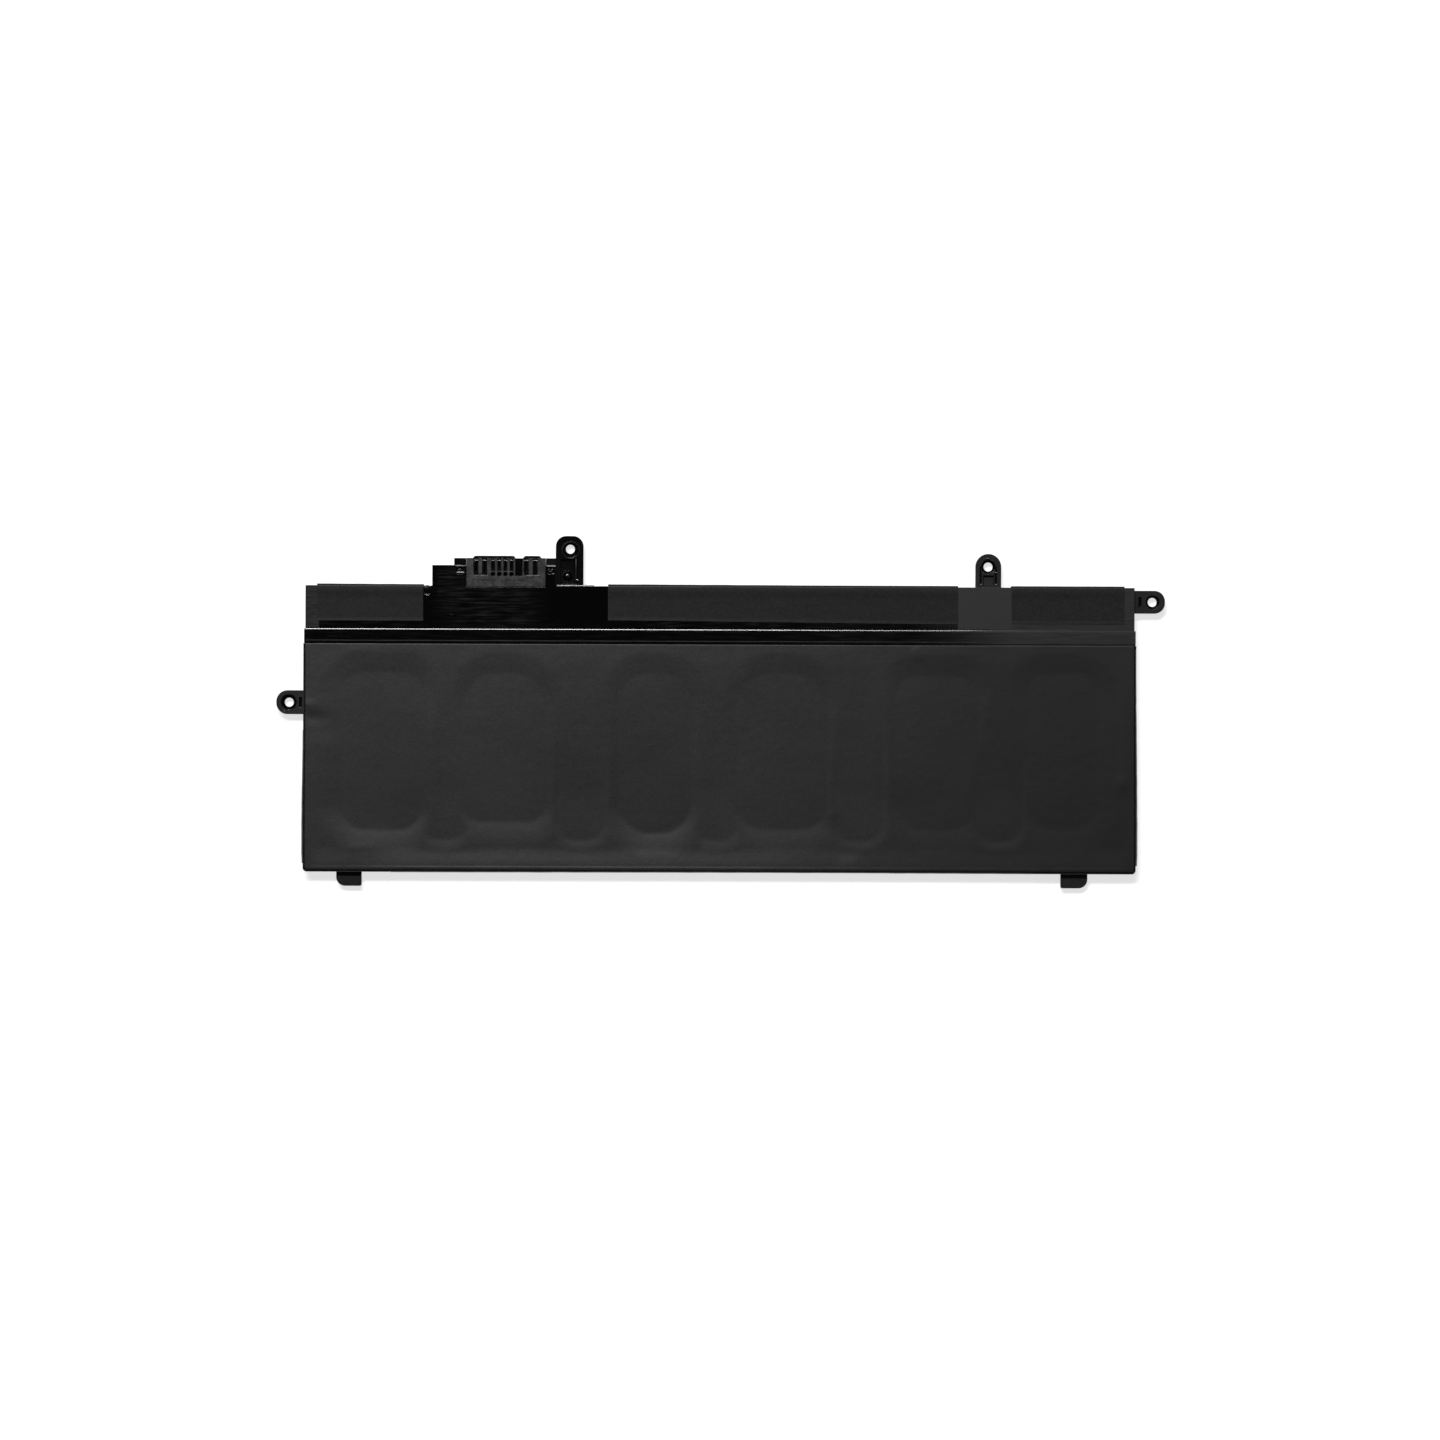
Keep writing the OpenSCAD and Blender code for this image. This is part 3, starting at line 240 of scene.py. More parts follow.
def makeDriftGroup():
    # slow change of tone or gloss over the surface, between Low and High
    group, gin, gout = newGroup("slowDrift",
        [("Scale", "NodeSocketFloat", 40.0), ("Low", "NodeSocketFloat", 0.0),
         ("High", "NodeSocketFloat", 1.0)],
        [("Value", "NodeSocketFloat")])
    n, l = group.nodes, group.links
    coords = n.new("ShaderNodeTexCoord")
    drift = n.new("ShaderNodeTexNoise")
    drift.inputs["Detail"].default_value = 4
    spread = n.new("ShaderNodeMapRange")
    spread.inputs["From Min"].default_value = 0.3
    spread.inputs["From Max"].default_value = 0.7
    l.new(coords.outputs["Object"], drift.inputs["Vector"])
    l.new(gin.outputs["Scale"], drift.inputs["Scale"])
    l.new(drift.outputs["Fac"], spread.inputs["Value"])
    l.new(gin.outputs["Low"], spread.inputs["To Min"])
    l.new(gin.outputs["High"], spread.inputs["To Max"])
    l.new(spread.outputs["Result"], gout.inputs["Value"])
    return group


def makeZoneGroup():
    # 1 inside a box of the XY plane, fading to 0 over the soft width outside it
    group, gin, gout = newGroup("zone",
        [("X0", "NodeSocketFloat", -1.0), ("X1", "NodeSocketFloat", 1.0),
         ("Y0", "NodeSocketFloat", -1.0), ("Y1", "NodeSocketFloat", 1.0),
         ("Soft", "NodeSocketFloat", 0.01)],
        [("Mask", "NodeSocketFloat")])
    n, l = group.nodes, group.links
    coords = n.new("ShaderNodeTexCoord")
    split = n.new("ShaderNodeSeparateXYZ")
    l.new(coords.outputs["Object"], split.inputs[0])
    product = None
    for axis, low, high in (("X", "X0", "X1"), ("Y", "Y0", "Y1")):
        for limit, sign in ((low, 1), (high, -1)):
            gap = n.new("ShaderNodeMath")
            gap.operation = "SUBTRACT"
            first, second = (0, 1) if sign > 0 else (1, 0)
            l.new(split.outputs[axis], gap.inputs[first])
            l.new(gin.outputs[limit], gap.inputs[second])
            ratio = n.new("ShaderNodeMath")
            ratio.operation = "DIVIDE"
            l.new(gap.outputs[0], ratio.inputs[0])
            l.new(gin.outputs["Soft"], ratio.inputs[1])
            shift = n.new("ShaderNodeMath")
            shift.use_clamp = True
            shift.inputs[1].default_value = 1.0
            l.new(ratio.outputs[0], shift.inputs[0])
            if product is None:
                product = shift
                continue
            times = n.new("ShaderNodeMath")
            times.operation = "MULTIPLY"
            l.new(product.outputs[0], times.inputs[0])
            l.new(shift.outputs[0], times.inputs[1])
            product = times
    l.new(product.outputs[0], gout.inputs["Mask"])
    return group


def makeStreakGroup():
    # long fine streaks along X, slightly climbing, as left by rubbing
    group, gin, gout = newGroup("streaks",
        [("Low", "NodeSocketFloat", 0.45), ("High", "NodeSocketFloat", 0.65)],
        [("Mask", "NodeSocketFloat")])
    n, l = group.nodes, group.links
    coords = n.new("ShaderNodeTexCoord")
    stretch = n.new("ShaderNodeMapping")
    stretch.inputs["Rotation"].default_value = (0, 0, math.radians(-7))
    stretch.inputs["Scale"].default_value = (150, 1900, 150)
    noiseNode = n.new("ShaderNodeTexNoise")
    noiseNode.inputs["Scale"].default_value = 1.0
    noiseNode.inputs["Detail"].default_value = 7
    noiseNode.inputs["Roughness"].default_value = 0.62
    spread = n.new("ShaderNodeMapRange")
    l.new(coords.outputs["Object"], stretch.inputs["Vector"])
    l.new(stretch.outputs[0], noiseNode.inputs["Vector"])
    l.new(noiseNode.outputs["Fac"], spread.inputs["Value"])
    l.new(gin.outputs["Low"], spread.inputs["From Min"])
    l.new(gin.outputs["High"], spread.inputs["From Max"])
    l.new(spread.outputs["Result"], gout.inputs["Mask"])
    return group


grainGroup = makeGrainGroup()
driftGroup = makeDriftGroup()
zoneGroup = makeZoneGroup()
streakGroup = makeStreakGroup()


def surface(name, dark, light, rough, roughDrift, driftScale, grainScale, coarse=0.35,
            bump=0.1, bumpDepth=0.02, metallic=0.0, specular=0.5, spread=0.15):
    # colour runs between dark and light with the grain, roughness drifts slowly;
    # a smaller spread gives the grain more contrast
    mat = bpy.data.materials.new(name)
    mat.use_nodes = True
    nt = mat.node_tree
    n, l = nt.nodes, nt.links
    bsdf = n["Principled BSDF"]
    grain = n.new("ShaderNodeGroup")
    grain.node_tree = grainGroup
    grain.inputs["Scale"].default_value = grainScale
    grain.inputs["Coarse"].default_value = coarse
    drift = n.new("ShaderNodeGroup")
    drift.node_tree = driftGroup
    drift.inputs["Scale"].default_value = driftScale
    drift.inputs["Low"].default_value = rough - roughDrift
    drift.inputs["High"].default_value = rough + roughDrift
    ramp = n.new("ShaderNodeValToRGB")
    ramp.color_ramp.elements[0].position = 0.5 - spread
    ramp.color_ramp.elements[1].position = 0.5 + spread
    ramp.color_ramp.elements[0].color = (*dark, 1)
    ramp.color_ramp.elements[1].color = (*light, 1)
    l.new(grain.outputs["Mask"], ramp.inputs["Fac"])
    l.new(ramp.outputs["Color"], bsdf.inputs["Base Color"])
    l.new(drift.outputs["Value"], bsdf.inputs["Roughness"])
    relief = n.new("ShaderNodeBump")
    relief.inputs["Strength"].default_value = bump
    relief.inputs["Distance"].default_value = bumpDepth * mm
    l.new(grain.outputs["Height"], relief.inputs["Height"])
    l.new(relief.outputs["Normal"], bsdf.inputs["Normal"])
    bsdf.inputs["Metallic"].default_value = metallic
    bsdf.inputs["Specular IOR Level"].default_value = specular
    return mat


def grey(v, warm=0.0):
    return (v * (1 + warm), v, v * (1 - warm))


looks = {
    # darkest and lightest colour, roughness, its drift, drift scale, grain scale, share of coarse grain
    "frameGloss": surface("frameGloss", grey(0.0008), grey(0.0014), 0.08, 0.02, 60, 1500,
                          bump=0.015, specular=0.55),
    "frameSatin": surface("frameSatin", grey(0.0008), grey(0.0025), 0.15, 0.04, 90, 3000, bump=0.25),
    "frameMatt": surface("frameMatt", grey(0.002), grey(0.012), 0.36, 0.05, 90, 2200,
                         bump=0.3, specular=0.33),
    "film": surface("film", grey(0.0002), grey(0.0138), 0.33, 0.012, 35, 2100, 0.25,
                    bump=0.60, specular=0.665),
    "rearFilm": surface("rearFilm", grey(0.0135), grey(0.0245), 0.38, 0.015, 35, 1900, 0.18,
                        bump=0.25, specular=0.17),
    "housing": surface("housing", grey(0.0005), grey(0.042), 0.52, 0.05, 90, 2100, 0.55,
                       bump=0.7, bumpDepth=0.12, spread=0.07),
    # the slots' walls: the housing plastic painted far darker, as painted shade down in the slots
    "slotWallShade": surface("slotWallShade", grey(0.0005), grey(0.0015), 0.16, 0.04, 90, 3600, specular=0.2),
    # the contacts' metal is painted far darker than plated metal: painted shade for their place down in the
    # slots
    "contact": surface("contact", grey(0.04, 0.02), grey(0.07, 0.02), 0.16, 0.04, 300, 6000, metallic=1.0),
    "foil": surface("foil", grey(0.55), grey(0.62), 0.35, 0.06, 60, 2500, bump=0.2, metallic=1.0),
    "aluminium": surface("aluminium", grey(0.70), grey(0.76), 0.32, 0.05, 90, 4000, metallic=1.0),
    "nickel": surface("nickel", grey(0.58, 0.04), grey(0.66, 0.04), 0.30, 0.05, 90, 4000, metallic=1.0),
    "tape": surface("tape", grey(0.72), grey(0.80), 0.6, 0.05, 60, 3000),
    "board": surface("board", grey(0.006), grey(0.009), 0.3, 0.05, 90, 2000),
    "foam": surface("foam", grey(0.02), grey(0.05), 0.9, 0.03, 90, 2600, 0.6, bump=0.8, bumpDepth=0.1),
    "chip": surface("chip", grey(0.012), grey(0.022), 0.45, 0.05, 200, 8000),
    "ceramic": surface("ceramic", (0.30, 0.22, 0.15), (0.40, 0.30, 0.2), 0.4, 0.05, 200, 8000),
    "fuseCeramic": surface("fuseCeramic", grey(0.50), grey(0.58), 0.4, 0.05, 200, 8000),
}
framePolish = {
    # where the polished plastic turns matt: x0, x1, y0, y1, soft width, strength, streaks low, high
    "zones": [
        (78.0, 130.0, 59.0, 90.0, 34.0, 1.0, -0.6, 0.6),         # right end
        (-130.0, -107.2, 65.2, 90.0, 0.6, 0.78, -0.3, 0.6),      # left end
        (63.6, 77.7, 65.2, 90.0, 0.5, 1.15, -0.6, 0.6),          # beside the upper right tab
        (-72.0, -52.0, 67.0, 75.0, 7.0, 0.60, 0.38, 0.70),       # rubbed strip below the connector
        (-75.0, -68.5, 74.0, 80.5, 1.5, 0.60, 0.40, 0.72),       # rubbed corner beside it
        (-110.0, 60.0, 61.0, 64.2, 4.0, 0.42, 0.44, 0.72),       # rubbed rail
        (25.0, 60.0, 61.0, 64.2, 14.0, 0.45, 0.30, 0.66),        # more of it to the right
        (-106.0, -84.0, 64.8, 67.0, 4.0, 0.42, 0.40, 0.72),      # below the left flap
        (-20.0, 60.0, 64.9, 67.0, 3.0, 0.50, 0.42, 0.66),        # below the middle flap
        (-110.5, 70.0, 61.44, 61.66, 0.07, 0.85, -0.6, 0.6),     # thin line along the rail
    ],
    "roughness": 0.36,
    "colour": 0.0085,
}
filmSmoothAndShade = {
    # the film is a little smoother towards its right end, and painted darker there: painted shade, as the
    # light falls weaker on that end
    "zones": [
        (95.0, 130.0, -20.0, 80.0, 90.0, 1.0, -0.6, 0.6),
    ],
    "roughness": 0.295,
    "colour": 0.0045,
}


def mixMath(nt, operation, first, second):
    node = nt.nodes.new("ShaderNodeMath")
    node.operation = operation
    nt.links.new(first, node.inputs[0])
    if isinstance(second, float):
        node.inputs[1].default_value = second
    else:
        nt.links.new(second, node.inputs[1])
    return node.outputs[0]


def addFinishAndShade(mat, finishAndShade):
    # mixes the zones into the roughness and the colour: on the frame a matt finish, on the film a smoother
    # finish with a darker colour that is painted shade
    nt = mat.node_tree
    n, l = nt.nodes, nt.links
    bsdf = n["Principled BSDF"]
    total = None
    for x0, x1, y0, y1, soft, strength, streakLow, streakHigh in finishAndShade["zones"]:
        low, high = place(x0, y0, 0), place(x1, y1, 0)
        box = n.new("ShaderNodeGroup")
        box.node_tree = zoneGroup
        for label, value in (("X0", low.x), ("X1", high.x), ("Y0", low.y), ("Y1", high.y)):
            box.inputs[label].default_value = value
        box.inputs["Soft"].default_value = soft * mm
        rub = n.new("ShaderNodeGroup")
        rub.node_tree = streakGroup
        rub.inputs["Low"].default_value = streakLow
        rub.inputs["High"].default_value = streakHigh
        share = mixMath(nt, "MULTIPLY", box.outputs[0], rub.outputs[0])
        share = mixMath(nt, "MULTIPLY", share, strength)
        total = share if total is None else mixMath(nt, "MAXIMUM", total, share)
    oldRough = bsdf.inputs["Roughness"].links[0].from_socket
    rough = n.new("ShaderNodeMix")
    rough.inputs[3].default_value = finishAndShade["roughness"]
    l.new(total, rough.inputs[0])
    l.new(oldRough, rough.inputs[2])
    l.new(rough.outputs[0], bsdf.inputs["Roughness"])
    oldColour = bsdf.inputs["Base Color"].links[0].from_socket
    colour = n.new("ShaderNodeMix")
    colour.data_type = "RGBA"
    colour.inputs[7].default_value = (*grey(finishAndShade["colour"]), 1)
    l.new(total, colour.inputs[0])
    l.new(oldColour, colour.inputs[6])
    l.new(colour.outputs[2], bsdf.inputs["Base Color"])


addFinishAndShade(looks["frameGloss"], framePolish)
addFinishAndShade(looks["film"], filmSmoothAndShade)
slotLooks = {
    "frame_plastic": "frameSatin", "film": "film", "pouch_foil": "foil", "aluminium_lead": "aluminium",
    "nickel_lead": "nickel", "tape": "tape", "board_laminate": "board", "nickel_pad": "nickel",
    "foam": "foam", "housing_plastic": "housing", "contact_metal": "contact", "chip_plastic": "chip",
    "fuse_ceramic": "fuseCeramic", "small_part_ceramic": "ceramic",
}
for part in frame["record"]["subparts"]:
    obj = nodes[part["node"]]
    obj.data.materials.clear()
    obj.data.materials.append(looks[slotLooks[part["material_slot"]]])
nodes["rear_film"].data.materials.clear()
nodes["rear_film"].data.materials.append(looks["rearFilm"])
print("materials made")


# Front film: a thin sheet drawn down onto six pouches, with three flaps over the walls

film = {
    "halfWidth": 110.9,        # outer faces of the side walls, mm
    "topEdge": 60.68,
    "restHeight": 6.5,         # outer face of the film where it lies on the frame
    "thickness": 0.15,
    "flapDepth": 4.6,
    "pitch": 0.62,             # spacing of the sheet's points
    # both ends of each flap
    "leftFlap": (2.0, 37.65),
    "rightFlap": (2.0, 59.6),
    "bottomFlap": (-87.7, 83.2),
    # how far a side flap stands off its wall: at its upper end, how much more lower down and over
    # what length, how much less at the lower end, from where and over what length
    "leftStandOff": (0.36, 0.30, 24.0, 0.12, 6.0, 4.0),
    "rightStandOff": (0.24, 0.50, 52.0, 0.10, 5.0, 3.0),
    # the same for the lower flap: in the middle, how much more and less, where most, radians a mm
    "bottomStandOff": (0.24, 0.08, -92, 0.028),
    # unevenness of all three: height, how many a millimetre along a side and along the lower edge
    "standOffWaves": (0.05, 0.35, 0.2),
    "edgeRoll": 0.014,         # drop of the cut upper edge towards the ledge
    "edgeRollWidth": 0.3,
    "foldStart": 0.6,          # how far inside the walls' faces the film starts to bend over
    "openRadius": 0.5,         # radius of the bend where the film has no flap
    "openEdge": 0.3,           # how far the film bends down there
    # extra rows of points over the folds: number, spacing at the lower edge and at the sides
    "foldRows": (10, 0.14, 0.16),
    "wallRows": (1.1, 1.3, 1.5),
    "cornerRadius": 0.8,
    # how far the film is drawn down between the walls, at its lower end
    "baySink": 0.13,
    "bayInset": 1.0,           # where the slope ends beside the walls' outer faces
    "bayReach": 5.8,           # how long the slope is above the lower wall and beside the side walls
    "baySide": 3.0,
    "bayFade": 60.0,           # height over which the sink fades out
    # how much less it is towards both ends: share, from x and over what length, right and left
    "bayEnds": (0.6, -10, 70, -78, 22),
    "lowLift": 0.06,           # how far the film stands off the lower wall
    "wallStep": (0.03, 1.05, 0.5),  # last short rise onto the lower wall: height, from y, over
    # how much further it is drawn down on the pouches, at their upper and lower ends
    "sinkHigh": 0.12,
    "sinkLow": 0.215,
    # middle of the flat face of each pouch, half width, half depth, lower and upper rounding,
    # and how strongly its lower end is drawn down
    "pouches": [
        (-90.2, 32.0, 10.9, 21.0, 6.5, 5.5, 1.00),
        (-57.4, 33.0, 11.2, 19.8, 5.0, 9.0, 0.75),
        (-17.3, 31.6, 9.8, 21.3, 8.5, 8.0, 1.12),
        (16.6, 32.2, 12.2, 20.9, 7.5, 10.0, 0.75),
        (58.0, 32.0, 11.0, 20.6, 8.0, 6.0, 0.45),
        (91.2, 32.4, 9.6, 20.8, 7.0, 5.5, 0.40),
    ],
    "reachLow": 6.4,           # how far the slope runs out below, above and beside a pouch
    "reachHigh": 5.6,
    "reachSide": 7.5,
    "rimPower": (1.7, 0.6),    # how steeply a pouch's rim falls and how much less above it
    # between the pouches: middles along x, then middle y, half width, half depth, lower and upper
    # rounding
    "gaps": [-73.3, -36.8, -0.6, 37.3, 74.6],
    "gapShape": (31.0, 6.5, 22.6, 5.5, 3.0),
    # how far the film is drawn down there: at the lower end, halfway up, from y and over what length
    "gapSink": (0.060, 0.150, 7, 15),
    "gapFade": (57, 35),       # up to where, and over what length it fades out
    "gapReach": 2.6,
    "gapPower": 1.3,
    # slow and fine unevenness: how many a millimetre along x and y, height; and over what length
    # it comes up from the side, lower and upper edges
    "slowWaves": (0.11, 0.13, 0.014),
    "fineWaves": (0.45, 0.5, 0.006),
    "calmEdges": (2.5, 2.0, 1.5),
    # soft dents and rises: x, y, reach along x, reach along y, height
    "dents": [
        (-110.0, 44.4, 2.6, 1.1, 0.045),
        (-108.0, 40.8, 3.4, 1.7, -0.075),
        (-106.0, 37.4, 4.4, 2.6, -0.040),
        (-95.5, 6.4, 5.6, 1.1, 0.024),
        (-73.0, 6.5, 6.2, 1.2, 0.022),
        (-36.6, 6.5, 5.6, 1.2, 0.022),
        (-0.8, 6.5, 6.0, 1.2, 0.022),
        (38.0, 6.5, 5.6, 1.2, 0.018),
        (75.5, 6.5, 6.0, 1.2, 0.018),
        (107.2, 24.0, 1.6, 2.2, 0.05),
    ],
    # how far a crease runs past its ends and fades there, in its lengths, and how far its step
    # goes on to the right and fades there, in its half widths
    "creaseEnds": (0.15, 0.35),
    "creaseSide": (2, 7),
    # creases: from x, y to x, y, half width, height of the step to their right
    "creases": [
        (-77.9, 42.5, -77.6, 13.5, 0.45, 0.05),
        (4.2, 53.5, 4.6, 38.5, 0.50, 0.035),
        (27.2, 13.0, 32.6, 2.6, 0.9, -0.06),
        (51.2, 60.0, 51.5, 56.6, 0.35, 0.03),
        (40.3, 51.5, 40.8, 20.0, 2.2, 0.06),
        (106.6, 55.5, 107.2, 23.5, 0.9, 0.05),
    ],
}


def easeStep(t):
    # 0 below 0, 1 above 1, smooth between
    t = min(max(t, 0.0), 1.0)
    return t * t * (3 - 2 * t)


def boxDistance(x, y, midX, midY, halfX, halfY, lowRound, highRound):
    # distance outside a rectangle whose lower and upper corners are rounded differently
    r = lowRound if y < midY else highRound
    r = min(r, halfX)
    dx = abs(x - midX) - (halfX - r)
    dy = abs(y - midY) - (halfY - r)
    return math.hypot(max(dx, 0.0), max(dy, 0.0)) + min(max(dx, dy), 0.0) - r


def creaseHeight(x, y, crease):
    ax, ay, bx, by, width, height = crease
    past, endFade = film["creaseEnds"]
    full, sideFade = film["creaseSide"]
    along = Vector((bx - ax, by - ay))
    length = along.length
    along.normalize()
    gap = Vector((x - ax, y - ay))
    t = gap.dot(along) / length
    if t < -past or t > 1 + past:
        return 0.0
    side = gap.x * -along.y + gap.y * along.x
    if abs(side) > width * (full + sideFade):
        return 0.0
    ends = easeStep((t + past) / endFade) * easeStep((1 + past - t) / endFade)
    step = 0.5 + 0.5 * math.tanh(side / width)
    fade = 1 - easeStep((side - width * full) / (width * sideFade)) if side > 0 else 1.0
    return height * ends * step * fade


def runOut(d, reach, power):
    # 1 on a pouch, falling steeply at its rim and easing off to 0 at the given reach
    if d <= 0:
        return 1.0
    return (1 - d / reach) ** power if d < reach else 0.0


def filmHeight(x, y):
    # outer face of the film above the rear face, mm
    f = film
    less, right, rightOver, left, leftOver = f["bayEnds"]
    upward = easeStep(y / f["bayFade"])
    side = easeStep((f["halfWidth"] - f["bayInset"] - abs(x)) / f["baySide"])
    middle = 1 - less * easeStep((x - right) / rightOver) - less * easeStep((left - x) / leftOver)
    deep = (f["baySink"] + f["lowLift"]) * side * middle * easeStep((y - f["bayInset"]) / f["bayReach"])
    deep -= (f["baySink"] * upward + f["lowLift"]) * side * middle
    step, stepFrom, stepOver = f["wallStep"]
    deep += step * (easeStep((y - stepFrom) / stepOver) - upward) * side * middle
    share = 0.0
    power, lessPower = f["rimPower"]
    for midX, midY, halfX, halfY, low, high, strength in f["pouches"]:
        d = boxDistance(x, y, midX, midY, halfX, halfY, low, high)
        if d > f["reachLow"]:
            continue
        upward = easeStep((y - midY) / (halfY * 2) + 0.5)
        below = easeStep((midY - halfY + low - y) / low)
        above = easeStep((y - midY - halfY + high) / high)
        reach = f["reachSide"] + (f["reachLow"] - f["reachSide"]) * below
        reach += (f["reachHigh"] - f["reachSide"]) * above
        sink = f["sinkLow"] * strength * (1 - upward) + f["sinkHigh"] * upward
        share = max(share, sink * runOut(d, reach, power - lessPower * above))
    sinkLow, sinkMore, sinkFrom, sinkOver = f["gapSink"]
    fadeTo, fadeOver = f["gapFade"]
    for gap in f["gaps"]:
        # between two pouches the film ends lower down in a round tongue
        d = boxDistance(x, y, gap, *f["gapShape"])
        if d < f["gapReach"]:
            sink = sinkLow + (sinkMore - sinkLow) * easeStep((y - sinkFrom) / sinkOver)
            sink *= min(max((fadeTo - y) / fadeOver, 0), 1)
            share = max(share, sink * runOut(d, f["gapReach"], f["gapPower"]))
    z = f["restHeight"] - deep - share
    for cx, cy, rx, ry, h in f["dents"]:
        q = ((x - cx) / rx) ** 2 + ((y - cy) / ry) ** 2
        if q < 12:
            z += h * math.exp(-q)
    for crease in f["creases"]:
        z += creaseHeight(x, y, crease)
    fromSide, fromLow, fromTop = f["calmEdges"]
    inside = easeStep((f["halfWidth"] - abs(x)) / fromSide) * easeStep(y / fromLow)
    inside *= easeStep((f["topEdge"] - y) / fromTop)
    for (alongX, alongY, height), layer in ((f["slowWaves"], 3.7), (f["fineWaves"], 9.1)):
        z += height * inside * noise.noise(Vector((x * alongX, y * alongY, layer)))
    z -= f["edgeRoll"] * easeStep((y - f["topEdge"] + f["edgeRollWidth"]) / f["edgeRollWidth"]) ** 2
    return z


def sideStandOff(y, name, layer):
    # how far the left or right flap's outer face stands off its wall, mm
    least, more, moreOver, less, lessFrom, lessOver = film[name + "StandOff"]
    top = film[name + "Flap"][1]
    waves = film["standOffWaves"][0] * noise.noise(Vector((y * film["standOffWaves"][1], layer, 0.0)))
    return least + more * easeStep((top - y) / moreOver) - less * easeStep((lessFrom - y) / lessOver) + waves


def bottomStandOff(x):
    middle, more, peak, turn = film["bottomStandOff"]
    waves = film["standOffWaves"][0] * noise.noise(Vector((x * film["standOffWaves"][2], 5.0, 0.0)))
    return middle + more * math.cos((x - peak) * turn) + waves


def foldOver(excess, radius):
    # length past the start of a fold, as distance outwards and drop
    quarter = radius * math.pi / 2
    if excess <= 0:
        return excess, 0.0
    if excess < quarter:
        a = excess / radius
        return radius * math.sin(a), radius * (1 - math.cos(a))
    return radius, radius + excess - quarter


def filmPoint(u, v):
    # a point of the flat cut sheet to its place on the pack
    f = film
    half = f["halfWidth"]
    start = f["foldStart"]
    side = -1 if u < 0 else 1
    y = max(v, 0.0)
    name, layer = ("left", 2.0) if side < 0 else ("right", 7.0)
    low, high = f[name + "Flap"]
    radius = f["openRadius"]
    if low - 0.01 <= v <= high + 0.01:
        radius = sideStandOff(min(max(y, low), high), name, layer)
    out, drop = foldOver(abs(u) - half + start, radius + start)
    x = side * (half - start + out)
    radiusLow = f["openRadius"]
    if f["bottomFlap"][0] <= u <= f["bottomFlap"][1]:
        radiusLow = bottomStandOff(u)
    outLow, dropLow = foldOver(start - v, radiusLow + start)
    yy = start - outLow
    z = filmHeight(side * min(abs(u), half), y) - drop - dropLow
    # the sheet's lower corners are rounded with the frame
    r = f["cornerRadius"]
    cx, cy = half - r, r
    if abs(x) > cx and yy < cy and drop < 1 and dropLow < 1:
        dx, dy = abs(x) - cx, cy - yy
        far = max(dx, dy)
        length = math.hypot(dx, dy)
        if length > 0:
            x = side * (cx + dx * far / length)
            yy = cy - dy * far / length
    return x, yy, z


def cutFlat(planes):
    # splits every face of the sheet being edited along the given straight lines
    for where, normal in planes:
        bpy.ops.mesh.select_all(action="SELECT")
        bpy.ops.mesh.bisect(plane_co=where, plane_no=normal)


def makeSheet(name, x0, x1, y0, y1, pitch):
    # a flat grid, left in edit mode
    bpy.ops.object.select_all(action="DESELECT")
    bpy.ops.mesh.primitive_grid_add(x_subdivisions=round((x1 - x0) / pitch),
                                    y_subdivisions=round((y1 - y0) / pitch), size=1)
    sheet = bpy.context.object
    sheet.name = name
    bpy.ops.object.mode_set(mode="EDIT")
    bpy.ops.transform.resize(value=(x1 - x0, y1 - y0, 1))
    bpy.ops.transform.translate(value=((x0 + x1) / 2, (y0 + y1) / 2, 0))
    return sheet


def removeFaces(sheet, unwanted):
    # deletes the faces whose middle the test names, in edit mode
    bm = bmesh.from_edit_mesh(sheet.data)
    for face in bm.faces:
        face.select_set(unwanted(face.calc_center_median()))
    bmesh.update_edit_mesh(sheet.data)
    bpy.ops.mesh.delete(type="FACE")


def finishSheet(sheet, thickness, material, smoothAngle=40):
    # gives the sheet its thickness, below the modelled face, and its material
    selectOnly(sheet)
    solid = sheet.modifiers.new("thickness", "SOLIDIFY")
    solid.thickness = thickness * mm
    solid.offset = -1
    bpy.ops.object.modifier_apply(modifier="thickness")
    bpy.ops.object.shade_smooth_by_angle(angle=math.radians(smoothAngle))
    sheet.data.materials.clear()
    sheet.data.materials.append(material)
    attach(sheet, "root")


